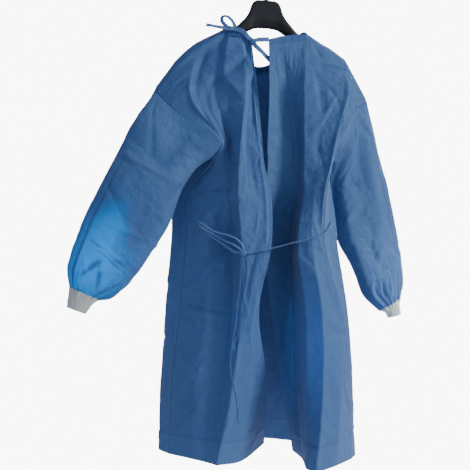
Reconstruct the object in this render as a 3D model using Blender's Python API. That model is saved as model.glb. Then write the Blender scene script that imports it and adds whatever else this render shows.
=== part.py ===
# Disposable gown of blue nonwoven cloth, hung on a moulded hanger with a wire hook.
# The wearer's back, with the opening and the ties, faces -Y, +X is to its right as seen
# from there, and +Z is up. The origin is the inside top of the hook, where a rail carries it.
# The cloth is worked out level by level: a table gives where each named line down a panel
# stands at each height, smooth curves join the lines across and the levels downwards, and
# each panel is then a thin wall, parted from its neighbours by the seam gap.
import math

import bmesh
import bpy
import numpy as np

# Driving dimensions in millimetres
MM = 0.001
WALL = 1.5
HEM_WALL = 2.4
SEAM_GAP = 0.3
BINDING_WALL = 1.1
CUFF_WALL = 2.2
TIE_DIAMETER = 5.0
CORD_ROUNDNESS = 2
TIE_STEP = 14.0
BOW_STEP = 10.0
HOOK_WIRE = 3.6
HOOK_RADIUS = 21.0
HOOK_STEP = 6.2
COLLAR_TOP = -77.0
SHOULDER_SEAM_Y = -26.0
RIDGE_RISE = 19.0
NECK_RIDGE_RISE = 8.0
GATHERS = 7
GATHER_DEPTH = 2.2
GATHER_START = 0.8
SHARP_ANGLE = math.radians(50)
HOOK_STEM = ((0.0, 0.3), (0.0, 8.3), (1.5, 18.3), (7.0, 28.8))
HOOK_ARC = (-50.0, 200.0)
HOOK_ARC_STOPS = 11
HANGER_SIDES = 16
HANGER_ROUNDING = 0.8
HANGER_END_REACH = 7.0
HANGER_END_DROP = 5.0
KNOT_FLATNESS = 0.62

# Steps of the grids: across the neck, the shoulder and the front neckline, down the
# armhole and the side, and along the sleeve and the cuff
NECK_STEPS = 7
SHOULDER_STEPS = 9
FRONT_NECK_STEPS = 10
ARMHOLE_STEPS = 14
SIDE_STEPS = 11
SLEEVE_STEPS = 17
CUFF_STEPS = 4

# Heights of the levels, in millimetres; the top, armhole and hem levels have their own z
LEVELS = ("top", "yoke", "chest", "underarm", "ribs", "waist", "hip", "knee", "hem")
LEVEL_Z = (None, -340, -478, -520, -600, -722, -900, -1090, None)

# Where each line of the left back panel stands: x and y at each level, and z where it
# leaves the level's height. The lines run from the free edge at the opening to the side.
LEFT_BACK = {
    "edge": ((-44, -31, -199), (-24, -45), (-9, -66), (-6, -73), (3, -91), (-2, -125),
             (-31, -121), (14, -36), (40, 76, -1294)),
    "band": ((-54, -29, -187), (-42, -42), (-45, -70), (-44, -78), (-43, -97), (-43, -128),
             (-55, -129), (-42, -90), (-58, -70, -1300)),
    "crest": ((-76, -33, -171), (-64, -62), (-82, -90), (-85, -95), (-89, -106), (-84, -131),
              (-79, -127), (-96, -120), (-131, -112, -1294)),
    "valley": ((-113, -26, -170), (-121, -33), (-101, -50), (-101, -53), (-100, -62), (-95, -76),
               (-91, -77), (-114, -86), (-150, -92, -1292)),
    "middle": ((-218, -26, -248), (-192, -60, -352), (-117, -70), (-128, -57), (-156, -48),
               (-155, -84), (-165, -92), (-186, -93), (-194, -80, -1284)),
    "side": ((-294, -26, -347), (-240, -56, -400), (-131, -84, -480), (-148, -46, -512),
             (-203, -18), (-211, -46), (-222, -45), (-238, -36), (-240, -20, -1286)),
}

# The right back panel, from its free edge to the side in the same way
RIGHT_BACK = {
    "edge": ((2, -31, -188), (4, -33), (-6, -35), (-6, -36), (-4, -38), (3, -34), (30, 0),
             (68, 20), (112, 38, -1306)),
    "valley": ((36, -28, -177), (66, -12), (87, -13), (86, -13), (84, -14), (78, 4), (94, 16),
               (107, 20), (116, -38, -1306)),
    "pull": ((108, -26, -164), (98, -50), (99, -57), (98, -61), (94, -76), (68, -121),
             (98, -106), (106, -106), (98, -136, -1305)),
    "crest": ((158, -26, -199), (156, -52), (141, -63), (134, -70), (116, -93), (102, -132),
              (131, -137), (134, -150), (114, -166, -1307)),
    "roll": ((224, -26, -239), (210, -57), (178, -76), (169, -84), (149, -103), (143, -117),
             (196, -92), (195, -112), (184, -126, -1303)),
    "side": ((285, -26, -339), (240, -44, -374), (200, -52, -456), (192, -8, -500),
             (190, -20), (191, -32), (235, -32), (254, -34), (250, -56, -1308)),
}

# The front panel between the two side lines, which it shares with the backs below the arms
FRONT = {
    "left turn": ((-212, 40, -340), (-190, 52), (-196, 16), (-236, 14), (-243, 4), (-254, 12),
                  (-262, 20), (-262, 30, -1286)),
    "left front": ((-115, 56, -340), (-105, 72), (-112, 70), (-150, 82), (-150, 84), (-160, 96),
                   (-165, 112), (-165, 130, -1294)),
    "centre": ((4, 80, -340), (0, 94), (0, 97), (0, 105), (-5, 116), (10, 128), (20, 146),
               (40, 166, -1301)),
    "right front": ((115, 58, -340), (112, 66), (112, 66), (120, 66), (128, 74), (140, 92),
                    (150, 108), (160, 122, -1306)),
    "right turn": ((205, 44, -340), (180, 46), (184, 32), (207, 20), (224, 22), (252, 14),
                   (270, 10), (280, 4, -1310)),
}
LEFT_ARMHOLE_FRONT = ((-292, 1, -328), (-289, 25, -346), (-266, 44, -402), (-214, 40, -478))
RIGHT_ARMHOLE_FRONT = ((283, 1, -320), (280, 25, -338), (262, 44, -390), (216, 50, -464))
BODY_MIDDLE = np.array([0.0, 20.0, -700.0])
CROWN_FRONT = 29.0
CROWN_OVER = (0.23, 0.48, 0.74, 1.0)
CROWN_DOWN = (0.2, 0.3, 0.4, 0.52)
NECK_LIFT = 15.0
NECK_LIFT_END = math.radians(62)
NECK_CROWN_END = math.radians(20)
NECK_CROWN_FADE = math.radians(30)
FRONT_NECK_DROP = 76.0
FRONT_NECK_REACH = 87.0
FRONT_NECK_HOLLOW = 2.6

# Rings down each sleeve: the centre's x, y and z, half width, half depth, and the lean,
# which is how far the ring's inner edge lies below its outer edge, in degrees
LEFT_SLEEVE = (
    (-268, -60, -479, 100, 32, 40),
    (-311, -70, -557, 94, 33, 28),
    (-351, -78, -650, 99, 32, 27),
    (-385, -86, -712, 95, 30, 29),
    (-412, -95, -765, 88, 28, 32),
    (-438, -101, -812, 77, 26, 33),
    (-458, -104, -843, 60, 24, 33),
    (-467, -105, -861, 38, 21, 24),
)
LEFT_CUFF = (
    (-475, -105, -876, 32, 18, 18),
    (-486, -105, -903, 24, 15, 20),
)
RIGHT_SLEEVE = (
    (275, 46, -450, 75, 34, 140),
    (290, 88, -514, 92, 32, 147),
    (313, 100, -593, 97, 30, 151),
    (335, 96, -677, 95, 28, 154),
    (361, 90, -753, 80, 27, 159),
    (379, 85, -815, 72, 26, 164),
    (391, 80, -864, 61, 24, 162),
    (407, 74, -900, 37, 19, 148),
)
RIGHT_CUFF = (
    (413, 72, -912, 26, 16, 150),
    (420, 70, -935, 20, 14, 164),
)

# The hanger's moulded arm from its middle to its end: x, top, bottom, half depth
HANGER_ARM = (
    (0, -77, -152, 13.0),
    (14, -77.2, -152.5, 13.0),
    (27, -78.4, -154, 13.0),
    (34, -82.6, -156, 13.2),
    (40, -92.5, -159, 13.6),
    (44, -106, -161, 14.0),
    (51, -119.5, -164.5, 14.5),
    (68, -140, -174, 14.5),
    (92, -163, -188, 12.0),
    (112, -176, -199, 12.0),
    (130, -184, -210, 15.5),
    (155, -197, -224, 17.5),
    (190, -220, -248, 17.5),
    (215, -240, -267, 16.5),
    (229, -258, -281, 12.5),
)

# Knots: the centre's x, y and z, and the radius
KNOTS = {
    "neck_knot": (-44, -40.5, -197.5, 6.0),
    "neck_bow_knot": (-105, -38.8, -168.5, 5.6),
    "waist_knot": (-80, -140.5, -756, 7.2),
}

# Routes of the ties, chosen by hand, from where each leaves the garment to its free end; a
# knot's name stands where a tie meets that knot
TIE_ROUTES = {
    "neck_strap_right": ((2.3, -34.2, -192), (-12, -37.5, -193), (-26, -39, -195), "neck_knot"),
    "neck_tail_right": ("neck_knot", (-37, -38, -209), (-27, -34, -217), (-14, -30, -226),
                        (-1, -25, -235), (12, -20, -244)),
    "neck_strap_left": ("neck_knot", (-56, -41.5, -189), (-66, -42, -180), (-78, -41.5, -173),
                        (-90, -40, -170), "neck_bow_knot"),
    "neck_bow_loop": ("neck_bow_knot", (-96, -38.5, -158), (-90, -38, -147), (-98, -38, -136),
                      (-112, -38, -130), (-123, -38.5, -137), (-122, -38.5, -149),
                      (-112, -38.5, -159), "neck_bow_knot"),
    "neck_tail_left": ("neck_bow_knot", (-118, -41, -168.5), (-128, -42, -166.5), (-142, -42, -163),
                       (-158, -42.5, -160), (-169, -42.5, -160)),
    "waist_tie_left": ((-196.4, -49.9, -684.2), (-188, -64, -691), (-172, -87, -703), (-150, -106, -719),
                       (-118, -127, -742), (-100, -137.5, -754), "waist_knot"),
    "waist_bow_loop": ("waist_knot", (-79, -140, -743), (-84, -139, -733), (-96, -135, -721),
                       (-116, -127, -712), (-146, -112, -704), (-170, -98, -690), (-183, -87, -681),
                       (-189, -80, -681.5), (-184, -82, -687), (-152, -105, -709.5),
                       (-122, -124.5, -727), (-102, -135, -736.5), (-89, -140, -745),
                       "waist_knot"),
    "waist_tie_right": ("waist_knot", (-60, -140.5, -754), (-40, -140, -749), (0, -142, -741),
                        (40, -143, -730), (75, -144, -721), (104, -144, -713), (134, -133, -702),
                        (152, -117, -692), (170, -84, -681), (186.2, -41.4, -671.1)),
    "waist_tail_short": ("waist_knot", (-74, -141.5, -768), (-71, -142, -790), (-72, -140.5, -822),
                         (-76, -139, -852), (-82, -138, -890), (-83, -137, -930), (-86, -136, -955),
                         (-98, -135, -982), (-97, -134, -998)),
    "waist_tail_long": ("waist_knot", (-84.5, -142.5, -768), (-86, -144, -790), (-87, -144.5, -830),
                        (-92, -145, -880), (-96, -144.5, -930), (-104, -144, -985), (-106, -142, -1050),
                        (-94, -138, -1100), (-84, -134, -1150), (-80, -130, -1182), (-72, -128, -1186)),
}

# Colour as shown, roughness and metallic value of each finish
FINISHES = {
    "blue nonwoven": ((0.055, 0.165, 0.345), 0.72, 0.0),
    "blue tape": ((0.06, 0.16, 0.33), 0.7, 0.0),
    "knit cuff": ((0.52, 0.53, 0.49), 0.9, 0.0),
    "black plastic": ((0.022, 0.025, 0.03), 0.42, 0.0),
    "plated wire": ((0.55, 0.55, 0.56), 0.25, 1.0),
}


def clear_scene():
    """Remove every object, so that the model starts from nothing."""
    for thing in list(bpy.data.objects):
        bpy.data.objects.remove(thing, do_unlink=True)


def finish(name, node):
    """A material of its own for one node, from the named finish."""
    colour, roughness, metallic = FINISHES[name]
    material = bpy.data.materials.new(node + "_finish")
    material.use_nodes = True
    shader = material.node_tree.nodes["Principled BSDF"]
    shader.inputs["Base Color"].default_value = (*colour, 1.0)
    shader.inputs["Roughness"].default_value = roughness
    shader.inputs["Metallic"].default_value = metallic
    return material


def smooth(t, knots, values):
    """Cubic curve through values at knots; each knot's slope is that of the two spans
    beside it, weighted by the length of the span opposite."""
    knots = np.asarray(knots, float)
    values = np.asarray(values, float)
    t = np.asarray(t, float)
    wide = (-1,) + (1,) * (values.ndim - 1)
    span = np.diff(knots).reshape(wide)
    slope = np.diff(values, axis=0) / span
    tangent = np.empty_like(values)
    tangent[0] = slope[0]
    tangent[-1] = slope[-1]
    tangent[1:-1] = (span[1:] * slope[:-1] + span[:-1] * slope[1:]) / (span[1:] + span[:-1])
    k = np.clip(np.searchsorted(knots, t, side="right") - 1, 0, len(knots) - 2)
    h = span[k]
    s = (t - knots[k]).reshape(wide) / h
    before = (1 + 2 * s) * (1 - s) ** 2 * values[k] + s * (1 - s) ** 2 * h * tangent[k]
    after = s ** 2 * (3 - 2 * s) * values[k + 1] - s ** 2 * (1 - s) * h * tangent[k + 1]
    return before + after


def lines_to_points(lines):
    """Points [line, level, xyz] of a panel's table, with the level's height filled in."""
    rows = []
    for stations in lines.values():
        heights = LEVEL_Z[-len(stations):]
        rows.append([(p[0], p[1], p[2] if len(p) == 3 else z) for p, z in zip(stations, heights)])
    return np.array(rows, float)


def along(points):
    """Knots from 0 to 1 along points [k, ..., xyz], by their mean distance apart."""
    steps = np.linalg.norm(np.diff(points, axis=0), axis=-1)
    if steps.ndim > 1:
        steps = steps.mean(axis=1)
    total = np.concatenate([[0.0], np.cumsum(steps)])
    return total / total[-1]


def spread(stops, counts):
    """Samples that hit every stop, with the given number of steps between each two."""
    parts = [np.linspace(a, b, n + 1)[:-1] for a, b, n in zip(stops[:-1], stops[1:], counts)]
    return np.concatenate(parts + [[stops[-1]]])


# Share of the way down at each level; the crown rows carry the front over the hanger's
# ridge, and two rows near the hem mark the top of the turned-up hem
DOWN = np.array([0.0, 0.165, 0.285, 0.33, 0.41, 0.515, 0.665, 0.825, 1.0])
UNDERARM = DOWN[3]
LOW_ARMHOLE = 0.265
CROWN = (0.0175, 0.035, 0.0525, 0.074)
HEM_STEP = 0.0455
HEM_EDGE_STEP = 0.0035


def down_samples():
    """Rows of every panel: crown, armhole, side, then the top of the hem and its edge."""
    armhole = np.linspace(CROWN[-1], UNDERARM, ARMHOLE_STEPS - len(CROWN) + 1)
    side = np.linspace(UNDERARM, 1.0 - HEM_STEP - HEM_EDGE_STEP, SIDE_STEPS)
    return np.concatenate([[0.0], CROWN, armhole[1:], side[1:], [1.0 - HEM_STEP, 1.0]])


def side_line(stations, front_stations):
    """The armhole's two edges, down the back and down the front, and the side seam below."""
    rows = down_samples()
    upper = rows[:ARMHOLE_STEPS + 1]
    lower = rows[ARMHOLE_STEPS + 1:]
    back_edge = smooth(upper, DOWN[:4], stations[:4])
    front_points = np.array([stations[0], *front_stations, stations[3]], float)
    front_knots = np.array([0.0, CROWN[1], CROWN[3], DOWN[1], LOW_ARMHOLE, UNDERARM])
    front_edge = smooth(upper, front_knots, front_points)
    seam = smooth(lower, DOWN[3:], stations[3:])
    return np.concatenate([back_edge, seam]), np.concatenate([front_edge, seam])


def back_panel(lines, neck_line):
    """Outer points [across, down, xyz] of a back panel, from free edge to side."""
    points = lines_to_points(lines)
    knots = along(points)
    corner = list(lines).index(neck_line)
    across = spread((0.0, knots[corner], 1.0), (NECK_STEPS, SHOULDER_STEPS))
    levels = np.array([smooth(across, knots, points[:, k]) for k in range(len(LEVELS))])
    return smooth(down_samples(), DOWN, levels).transpose(1, 0, 2)


def front_neckline(start, end):
    """The front neckline between the shoulder seams: a U in plan, which runs forward over
    the hanger and then drops; also the angle of each point round the U."""
    turn = np.linspace(0.0, math.pi, FRONT_NECK_STEPS + 1)[1:-1]
    t = ((1 - np.cos(turn)) / 2)[:, None]
    edge = np.minimum(turn, math.pi - turn)
    lift = NECK_LIFT * np.sin(np.clip(edge / NECK_LIFT_END, 0.0, 1.0) * math.pi)
    points = start + (end - start) * t
    points[:, 1] += FRONT_NECK_REACH * np.sin(turn)
    points[:, 2] += lift - FRONT_NECK_DROP * np.sin(turn) ** FRONT_NECK_HOLLOW
    return points, turn


def front_panel(left_back, right_back, left_edge, right_edge, left_points, right_points):
    """Outer points of the front: its top row is both shoulder seams and the neckline."""
    inner = lines_to_points(FRONT)
    sides = [left_points[-1, 1:], right_points[-1, 1:]]
    left_side = np.array([*LEFT_ARMHOLE_FRONT[2:], *sides[0][2:]], float)
    right_side = np.array([*RIGHT_ARMHOLE_FRONT[2:], *sides[1][2:]], float)
    points = np.concatenate([left_side[None], inner, right_side[None]])
    knots = along(points)
    shoulders = (knots[2], knots[4])
    across = spread((0.0, *shoulders, 1.0), (SHOULDER_STEPS, FRONT_NECK_STEPS, SHOULDER_STEPS))
    levels = [smooth(across, knots, points[:, k]) for k in range(points.shape[1])]
    left_seam = left_back[NECK_STEPS:, 0][::-1]
    right_seam = right_back[NECK_STEPS:, 0]
    neck, turn = front_neckline(left_seam[-1], right_seam[0])
    top = np.concatenate([left_seam, neck, right_seam])
    n = SHOULDER_STEPS
    over = np.ones(len(top))
    past = np.clip((np.minimum(turn, math.pi - turn) - NECK_CROWN_END) / NECK_CROWN_FADE, 0.0, 1.0)
    over[n + 1:-n - 1] = 1 - past * past * (3 - 2 * past)
    climb = np.minimum(np.linspace(0.0, 3.0, n + 1), 1.0)
    rise = np.full(len(top), NECK_RIDGE_RISE)
    rise[-n - 1:] += (RIDGE_RISE - NECK_RIDGE_RISE) * climb
    rise[:n + 1] = rise[-n - 1:][::-1]
    over = over[:, None]
    rise = rise[:, None]
    below = levels[0] - top
    crown = []
    for share_over, share_down in zip(CROWN_OVER, CROWN_DOWN):
        depth = top[:, 1:2]
        reach = (CROWN_FRONT - depth) * share_over
        arch = (depth ** 2 - (depth + reach) ** 2) / SHOULDER_SEAM_Y ** 2 * rise
        up = np.concatenate([0 * reach, reach, arch], axis=1)
        crown.append(top + over * up + (1 - over) * share_down * below)
    rows = np.array([top] + crown + levels)
    knots_down = np.concatenate([[0.0], CROWN, DOWN[1:]])
    grid = smooth(down_samples(), knots_down, rows).transpose(1, 0, 2)
    grid[0] = left_edge
    grid[-1] = right_edge
    return grid


def normals_of(grid, closed=False):
    """Unit normal at each point of a grid, the mean of the faces round it; closed joins
    the first and last columns."""
    whole = np.concatenate([grid, grid[:1]]) if closed else grid
    face = np.cross(whole[1:, 1:] - whole[:-1, :-1], whole[:-1, 1:] - whole[1:, :-1])
    face /= np.linalg.norm(face, axis=-1, keepdims=True)
    normal = np.zeros_like(whole)
    for part in (normal[:-1, :-1], normal[1:, :-1], normal[:-1, 1:], normal[1:, 1:]):
        part += face
    if closed:
        normal[0] += normal[-1]
        normal = normal[:-1]
    return normal / np.linalg.norm(normal, axis=-1, keepdims=True)


def outward(grid, middle, closed=False):
    """Normals of a grid, turned to the side that faces away from a middle."""
    normal = normals_of(grid, closed)
    return normal if (normal * (grid - middle)).sum() > 0 else -normal


def share(first, second):
    """The normal halfway between two, which both pieces of a seam use for their edge."""
    total = first + second
    return total / np.maximum(np.linalg.norm(total, axis=-1, keepdims=True), 1e-9)


def pull_in(grid, edge, gap=SEAM_GAP):
    """Move one edge of a grid half the seam gap towards the next row or column."""
    view = {"first": grid, "last": grid[::-1],
            "top": grid.transpose(1, 0, 2), "end": grid.transpose(1, 0, 2)[::-1]}[edge]
    step = view[1] - view[0]
    length = np.linalg.norm(step, axis=-1, keepdims=True)
    view[0] += step / length * (gap / 2)


def node(name, verts, faces, finish_name):
    """A closed mesh in the gown's collection, from points in millimetres, facing out."""
    mesh = bpy.data.meshes.new(name)
    mesh.from_pydata((np.asarray(verts) * MM).tolist(), [], faces)
    turned = bmesh.new()
    turned.from_mesh(mesh)
    bmesh.ops.recalc_face_normals(turned, faces=turned.faces)
    turned.to_mesh(mesh)
    turned.free()
    mesh.materials.append(finish(finish_name, name))
    mesh.shade_smooth()
    mesh.set_sharp_from_angle(angle=SHARP_ANGLE)
    bpy.data.collections["gown_on_hanger"].objects.link(bpy.data.objects.new(name, mesh))


def wall(name, outer, inner, finish_name, closed=False):
    """One closed solid between an outer and an inner grid of points; closed joins the
    first and last columns into a tube that is open at its ends."""
    count, rows = outer.shape[:2]
    verts = np.concatenate([outer.reshape(-1, 3), inner.reshape(-1, 3)])
    inside = count * rows
    columns = count if closed else count - 1
    faces = []
    for i in range(columns):
        a = i * rows
        b = (i + 1) % count * rows
        for j in range(rows - 1):
            faces.append((a + j, b + j, b + j + 1))
            faces.append((a + j, b + j + 1, a + j + 1))
            faces.append((inside + a + j, inside + b + j + 1, inside + b + j))
            faces.append((inside + a + j, inside + a + j + 1, inside + b + j + 1))
        for j, flip in ((0, False), (rows - 1, True)):
            quad = (a + j, inside + a + j, inside + b + j, b + j)
            faces.append(quad[::-1] if flip else quad)
    if not closed:
        for i, flip in ((0, True), (count - 1, False)):
            a = i * rows
            for j in range(rows - 1):
                quad = (a + j, inside + a + j, inside + a + j + 1, a + j + 1)
                faces.append(quad[::-1] if flip else quad)
    node(name, verts, faces, finish_name)


def cloth_wall(name, outer, normal, finish_name):
    """A panel's wall: single cloth, and doubled inside where the hem is turned up."""
    depth = np.full(outer.shape[1], WALL)
    depth[-2:] = HEM_WALL
    wall(name, outer, outer - normal * depth[:, None], finish_name)


def ring_points(row, count):
    """Points round one flattened ring, starting at its outer edge and going by the back."""
    x, y, z, half_width, half_depth, lean = row
    angle = 2 * math.pi * np.arange(count) / count
    lean = math.radians(lean)
    inward = np.array([math.cos(lean), 0.0, -math.sin(lean)])
    centre = np.array([x, y, z], float)
    width = np.cos(angle)[:, None] * half_width * -inward
    depth = np.sin(angle)[:, None] * half_depth * np.array([0.0, -1.0, 0.0])
    return centre + width + depth


def sleeve(loop, rows, steps):
    """Outer points [round, along, xyz] of a sleeve, from the armhole to the cuff's seam."""
    count = len(loop)
    rings = np.array([loop] + [ring_points(row, count) for row in rows])
    knots = along(rings.mean(axis=1))
    t = np.linspace(0.0, 1.0, steps + 1)
    grid = smooth(t, knots, rings)
    centre = grid.mean(axis=1, keepdims=True)
    out = grid - centre
    out = out / np.linalg.norm(out, axis=-1, keepdims=True)
    near = np.clip((t - GATHER_START) / (1.0 - GATHER_START), 0.0, 1.0)[:, None] ** 1.5
    wave = np.cos(2 * math.pi * GATHERS * np.arange(count) / count)[None, :]
    grid = grid + out * (near * wave * GATHER_DEPTH)[..., None]
    return grid.transpose(1, 0, 2)


def cuff(ring, rows, steps):
    """Outer points of a cuff, from the sleeve's last ring to the wrist opening."""
    rings = np.array([ring] + [ring_points(row, len(ring)) for row in rows])
    t = np.linspace(0.0, 1.0, steps + 1)
    return smooth(t, along(rings.mean(axis=1)), rings).transpose(1, 0, 2)


def make_gown():
    """Cut and hang every panel, sleeve, cuff and binding."""
    left_points = lines_to_points(LEFT_BACK)
    right_points = lines_to_points(RIGHT_BACK)
    left_back = back_panel(LEFT_BACK, "valley")
    right_back = back_panel(RIGHT_BACK, "pull")
    left_back[-1], left_edge = side_line(left_points[-1], LEFT_ARMHOLE_FRONT)
    right_back[-1], right_edge = side_line(right_points[-1], RIGHT_ARMHOLE_FRONT)
    front = front_panel(left_back, right_back, left_edge, right_edge, left_points, right_points)

    top = ARMHOLE_STEPS
    around = slice(0, top + 1)
    loops = {}
    for side, back, edge in (("left", left_back, left_edge), ("right", right_back, right_edge)):
        loops[side] = np.concatenate([back[-1, around], edge[1:top][::-1]])
    sleeves = {"left": sleeve(loops["left"], LEFT_SLEEVE, SLEEVE_STEPS),
               "right": sleeve(loops["right"], RIGHT_SLEEVE, SLEEVE_STEPS)}
    cuffs = {"left": cuff(sleeves["left"][:, -1], LEFT_CUFF, CUFF_STEPS),
             "right": cuff(sleeves["right"][:, -1], RIGHT_CUFF, CUFF_STEPS)}

    facing = {
        "left_back": outward(left_back, BODY_MIDDLE),
        "right_back": outward(right_back, BODY_MIDDLE),
        "front": outward(front, BODY_MIDDLE),
    }
    for side in ("left", "right"):
        for piece, grid in (("sleeve", sleeves[side]), ("cuff", cuffs[side])):
            facing[side + "_" + piece] = outward(grid, grid.mean(axis=0), closed=True)

    n = SHOULDER_STEPS
    for side, row, column in (("left", slice(n, None, -1), 0), ("right", slice(-n - 1, None), -1)):
        back = facing[side + "_back"]
        both = share(back[-1, top:], facing["front"][column, top:])
        back[-1, top:] = both
        facing["front"][column, top:] = both
        over = share(back[NECK_STEPS:, 0], facing["front"][row, 0])
        back[NECK_STEPS:, 0] = over
        facing["front"][row, 0] = over
        body = np.concatenate([back[-1, around], facing["front"][column, 1:top][::-1]])
        both = share(body, facing[side + "_sleeve"][:, 0])
        facing[side + "_sleeve"][:, 0] = both
        back[-1, around] = both[:top + 1]
        facing["front"][column, 1:top + 1] = both[top:][::-1]
        facing["front"][column, 0] = both[0]
        wrist = share(facing[side + "_sleeve"][:, -1], facing[side + "_cuff"][:, 0])
        facing[side + "_sleeve"][:, -1] = wrist
        facing[side + "_cuff"][:, 0] = wrist

    for back in (left_back, right_back):
        pull_in(back, "last")
        pull_in(back[NECK_STEPS:], "top")
    pull_in(front, "first")
    pull_in(front, "last")
    pull_in(front[:n + 1], "top")
    pull_in(front[-n - 1:], "top")
    for side in ("left", "right"):
        pull_in(sleeves[side], "top", 2 * SEAM_GAP)
        pull_in(sleeves[side], "end", 2 * SEAM_GAP)
        pull_in(cuffs[side], "top", 2 * SEAM_GAP)

    cloth_wall("back_panel_left", left_back, facing["left_back"], "blue nonwoven")
    cloth_wall("back_panel_right", right_back, facing["right_back"], "blue nonwoven")
    cloth_wall("front_panel", front, facing["front"], "blue nonwoven")
    for side in ("left", "right"):
        grid, normal = sleeves[side], facing[side + "_sleeve"]
        wall("sleeve_" + side, grid, grid - normal * WALL, "blue nonwoven", closed=True)
        grid, normal = cuffs[side], facing[side + "_cuff"]
        wall("cuff_" + side, grid, grid - normal * CUFF_WALL, "knit cuff", closed=True)

    strips = {
        "neck_binding_left": (left_back[:NECK_STEPS + 1, :2], facing["left_back"][:NECK_STEPS + 1, :2]),
        "neck_binding_right": (right_back[:NECK_STEPS + 1, :2], facing["right_back"][:NECK_STEPS + 1, :2]),
        "neck_binding_front": (front[n:-n, :2], facing["front"][n:-n, :2]),
    }
    for name, (grid, normal) in strips.items():
        inner = grid + normal * SEAM_GAP
        outer = grid + normal * (SEAM_GAP + BINDING_WALL)
        for face in (inner, outer):
            pull_in(face, "first")
            pull_in(face, "last")
        wall(name, outer, inner, "blue nonwoven")


def make_hanger():
    """The moulded hanger: rounded sections carried from one end to the other."""
    arm = np.array(HANGER_ARM, float)
    full = np.concatenate([arm[:0:-1] * (-1, 1, 1, 1), arm])
    sides = HANGER_SIDES
    angle = 2 * math.pi * np.arange(sides) / sides
    round_y = np.sign(np.cos(angle)) * np.abs(np.cos(angle)) ** HANGER_ROUNDING
    round_z = np.sign(np.sin(angle)) * np.abs(np.sin(angle)) ** HANGER_ROUNDING
    verts = []
    for x, top, bottom, half_depth in full:
        middle = (top + bottom) / 2
        tall = (top - bottom) / 2
        verts += [(x, half_depth * cy, middle + tall * sz) for cy, sz in zip(round_y, round_z)]
    faces = []
    for k in range(len(full) - 1):
        for i in range(sides):
            a = k * sides + i
            b = k * sides + (i + 1) % sides
            faces.append((a, b, b + sides, a + sides))
    for k, side in ((0, -1), (len(full) - 1, 1)):
        x, top, bottom = full[k, :3]
        tip = len(verts)
        verts.append((x + side * HANGER_END_REACH, 0.0, (top + bottom) / 2 - HANGER_END_DROP))
        for i in range(sides):
            faces.append((k * sides + i, k * sides + (i + 1) % sides, tip))
    node("hanger_body", verts, faces, "black plastic")


def cord(name, points, diameter, finish_name):
    """A round cord or wire through points in millimetres, with filled ends."""
    data = bpy.data.curves.new(name, "CURVE")
    data.dimensions = "3D"
    data.bevel_depth = diameter / 2 * MM
    data.bevel_resolution = CORD_ROUNDNESS
    data.use_fill_caps = True
    spline = data.splines.new("POLY")
    spline.points.add(len(points) - 1)
    for place, point in zip(spline.points, points):
        place.co = (*(np.asarray(point) * MM), 1.0)
    data.materials.append(finish(finish_name, name))
    bpy.data.collections["gown_on_hanger"].objects.link(bpy.data.objects.new(name, data))


def route(points, spacing):
    """Evenly spaced points on one smooth curve through a route's own points."""
    points = np.array(points, float)
    knots = along(points)
    length = np.linalg.norm(np.diff(points, axis=0), axis=1).sum()
    count = max(4, int(round(length / spacing)))
    return smooth(np.linspace(0.0, 1.0, count + 1), knots, points)


def make_hook():
    """The wire hook: a stem out of the collar, then most of a circle over the rail."""
    wire_radius = HOOK_RADIUS + HOOK_WIRE / 2
    stem = [(x, 0.0, COLLAR_TOP + rise) for x, rise in HOOK_STEM]
    arc = [(wire_radius * math.cos(a), 0.0, wire_radius * math.sin(a) - HOOK_RADIUS)
           for a in np.radians(np.linspace(*HOOK_ARC, HOOK_ARC_STOPS))]
    cord("hanger_hook", route(stem + arc, HOOK_STEP), HOOK_WIRE, "plated wire")


def knot_seat(name, towards):
    """Where a tie that comes from a point meets a knot: the seam gap off its surface."""
    x, y, z, radius = KNOTS[name]
    centre = np.array((x, y, z))
    line = np.array(towards, float) - centre
    line /= np.linalg.norm(line)
    reach = radius / np.linalg.norm(line / (1.0, KNOT_FLATNESS, 1.0))
    return centre + line * (reach + SEAM_GAP)


def make_ties():
    """Neck and waist ties with their bow loops, free tails and knots."""
    for name, stops in TIE_ROUTES.items():
        points = list(stops)
        for end, beside in ((0, 1), (-1, -2)):
            if points[end] in KNOTS:
                points[end] = knot_seat(points[end], points[beside])
        step = BOW_STEP if "bow" in name or "neck" in name else TIE_STEP
        cord(name, route(points, step), TIE_DIAMETER, "blue tape")
    for name, (x, y, z, radius) in KNOTS.items():
        bpy.ops.mesh.primitive_uv_sphere_add(segments=12, ring_count=7, radius=radius * MM,
                                             location=(x * MM, y * MM, z * MM))
        knot = bpy.context.object
        knot.name = name
        knot.scale = (1.0, KNOT_FLATNESS, 1.0)
        bpy.ops.object.transform_apply(location=False, rotation=False, scale=True)
        knot.data.materials.append(finish("blue tape", name))
        for collection in list(knot.users_collection):
            collection.objects.unlink(knot)
        bpy.data.collections["gown_on_hanger"].objects.link(knot)


clear_scene()
gown_collection = bpy.data.collections.new("gown_on_hanger")
bpy.context.scene.collection.children.link(gown_collection)
make_hanger()
make_hook()
make_gown()
make_ties()
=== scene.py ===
# A disposable isolation gown of blue nonwoven cloth, hung on a broad moulded hanger and seen
# from its back, where the two panels overlap and the neck and waist ties are knotted.
import math

import bpy
import numpy as np
from mathutils import Matrix


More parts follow.
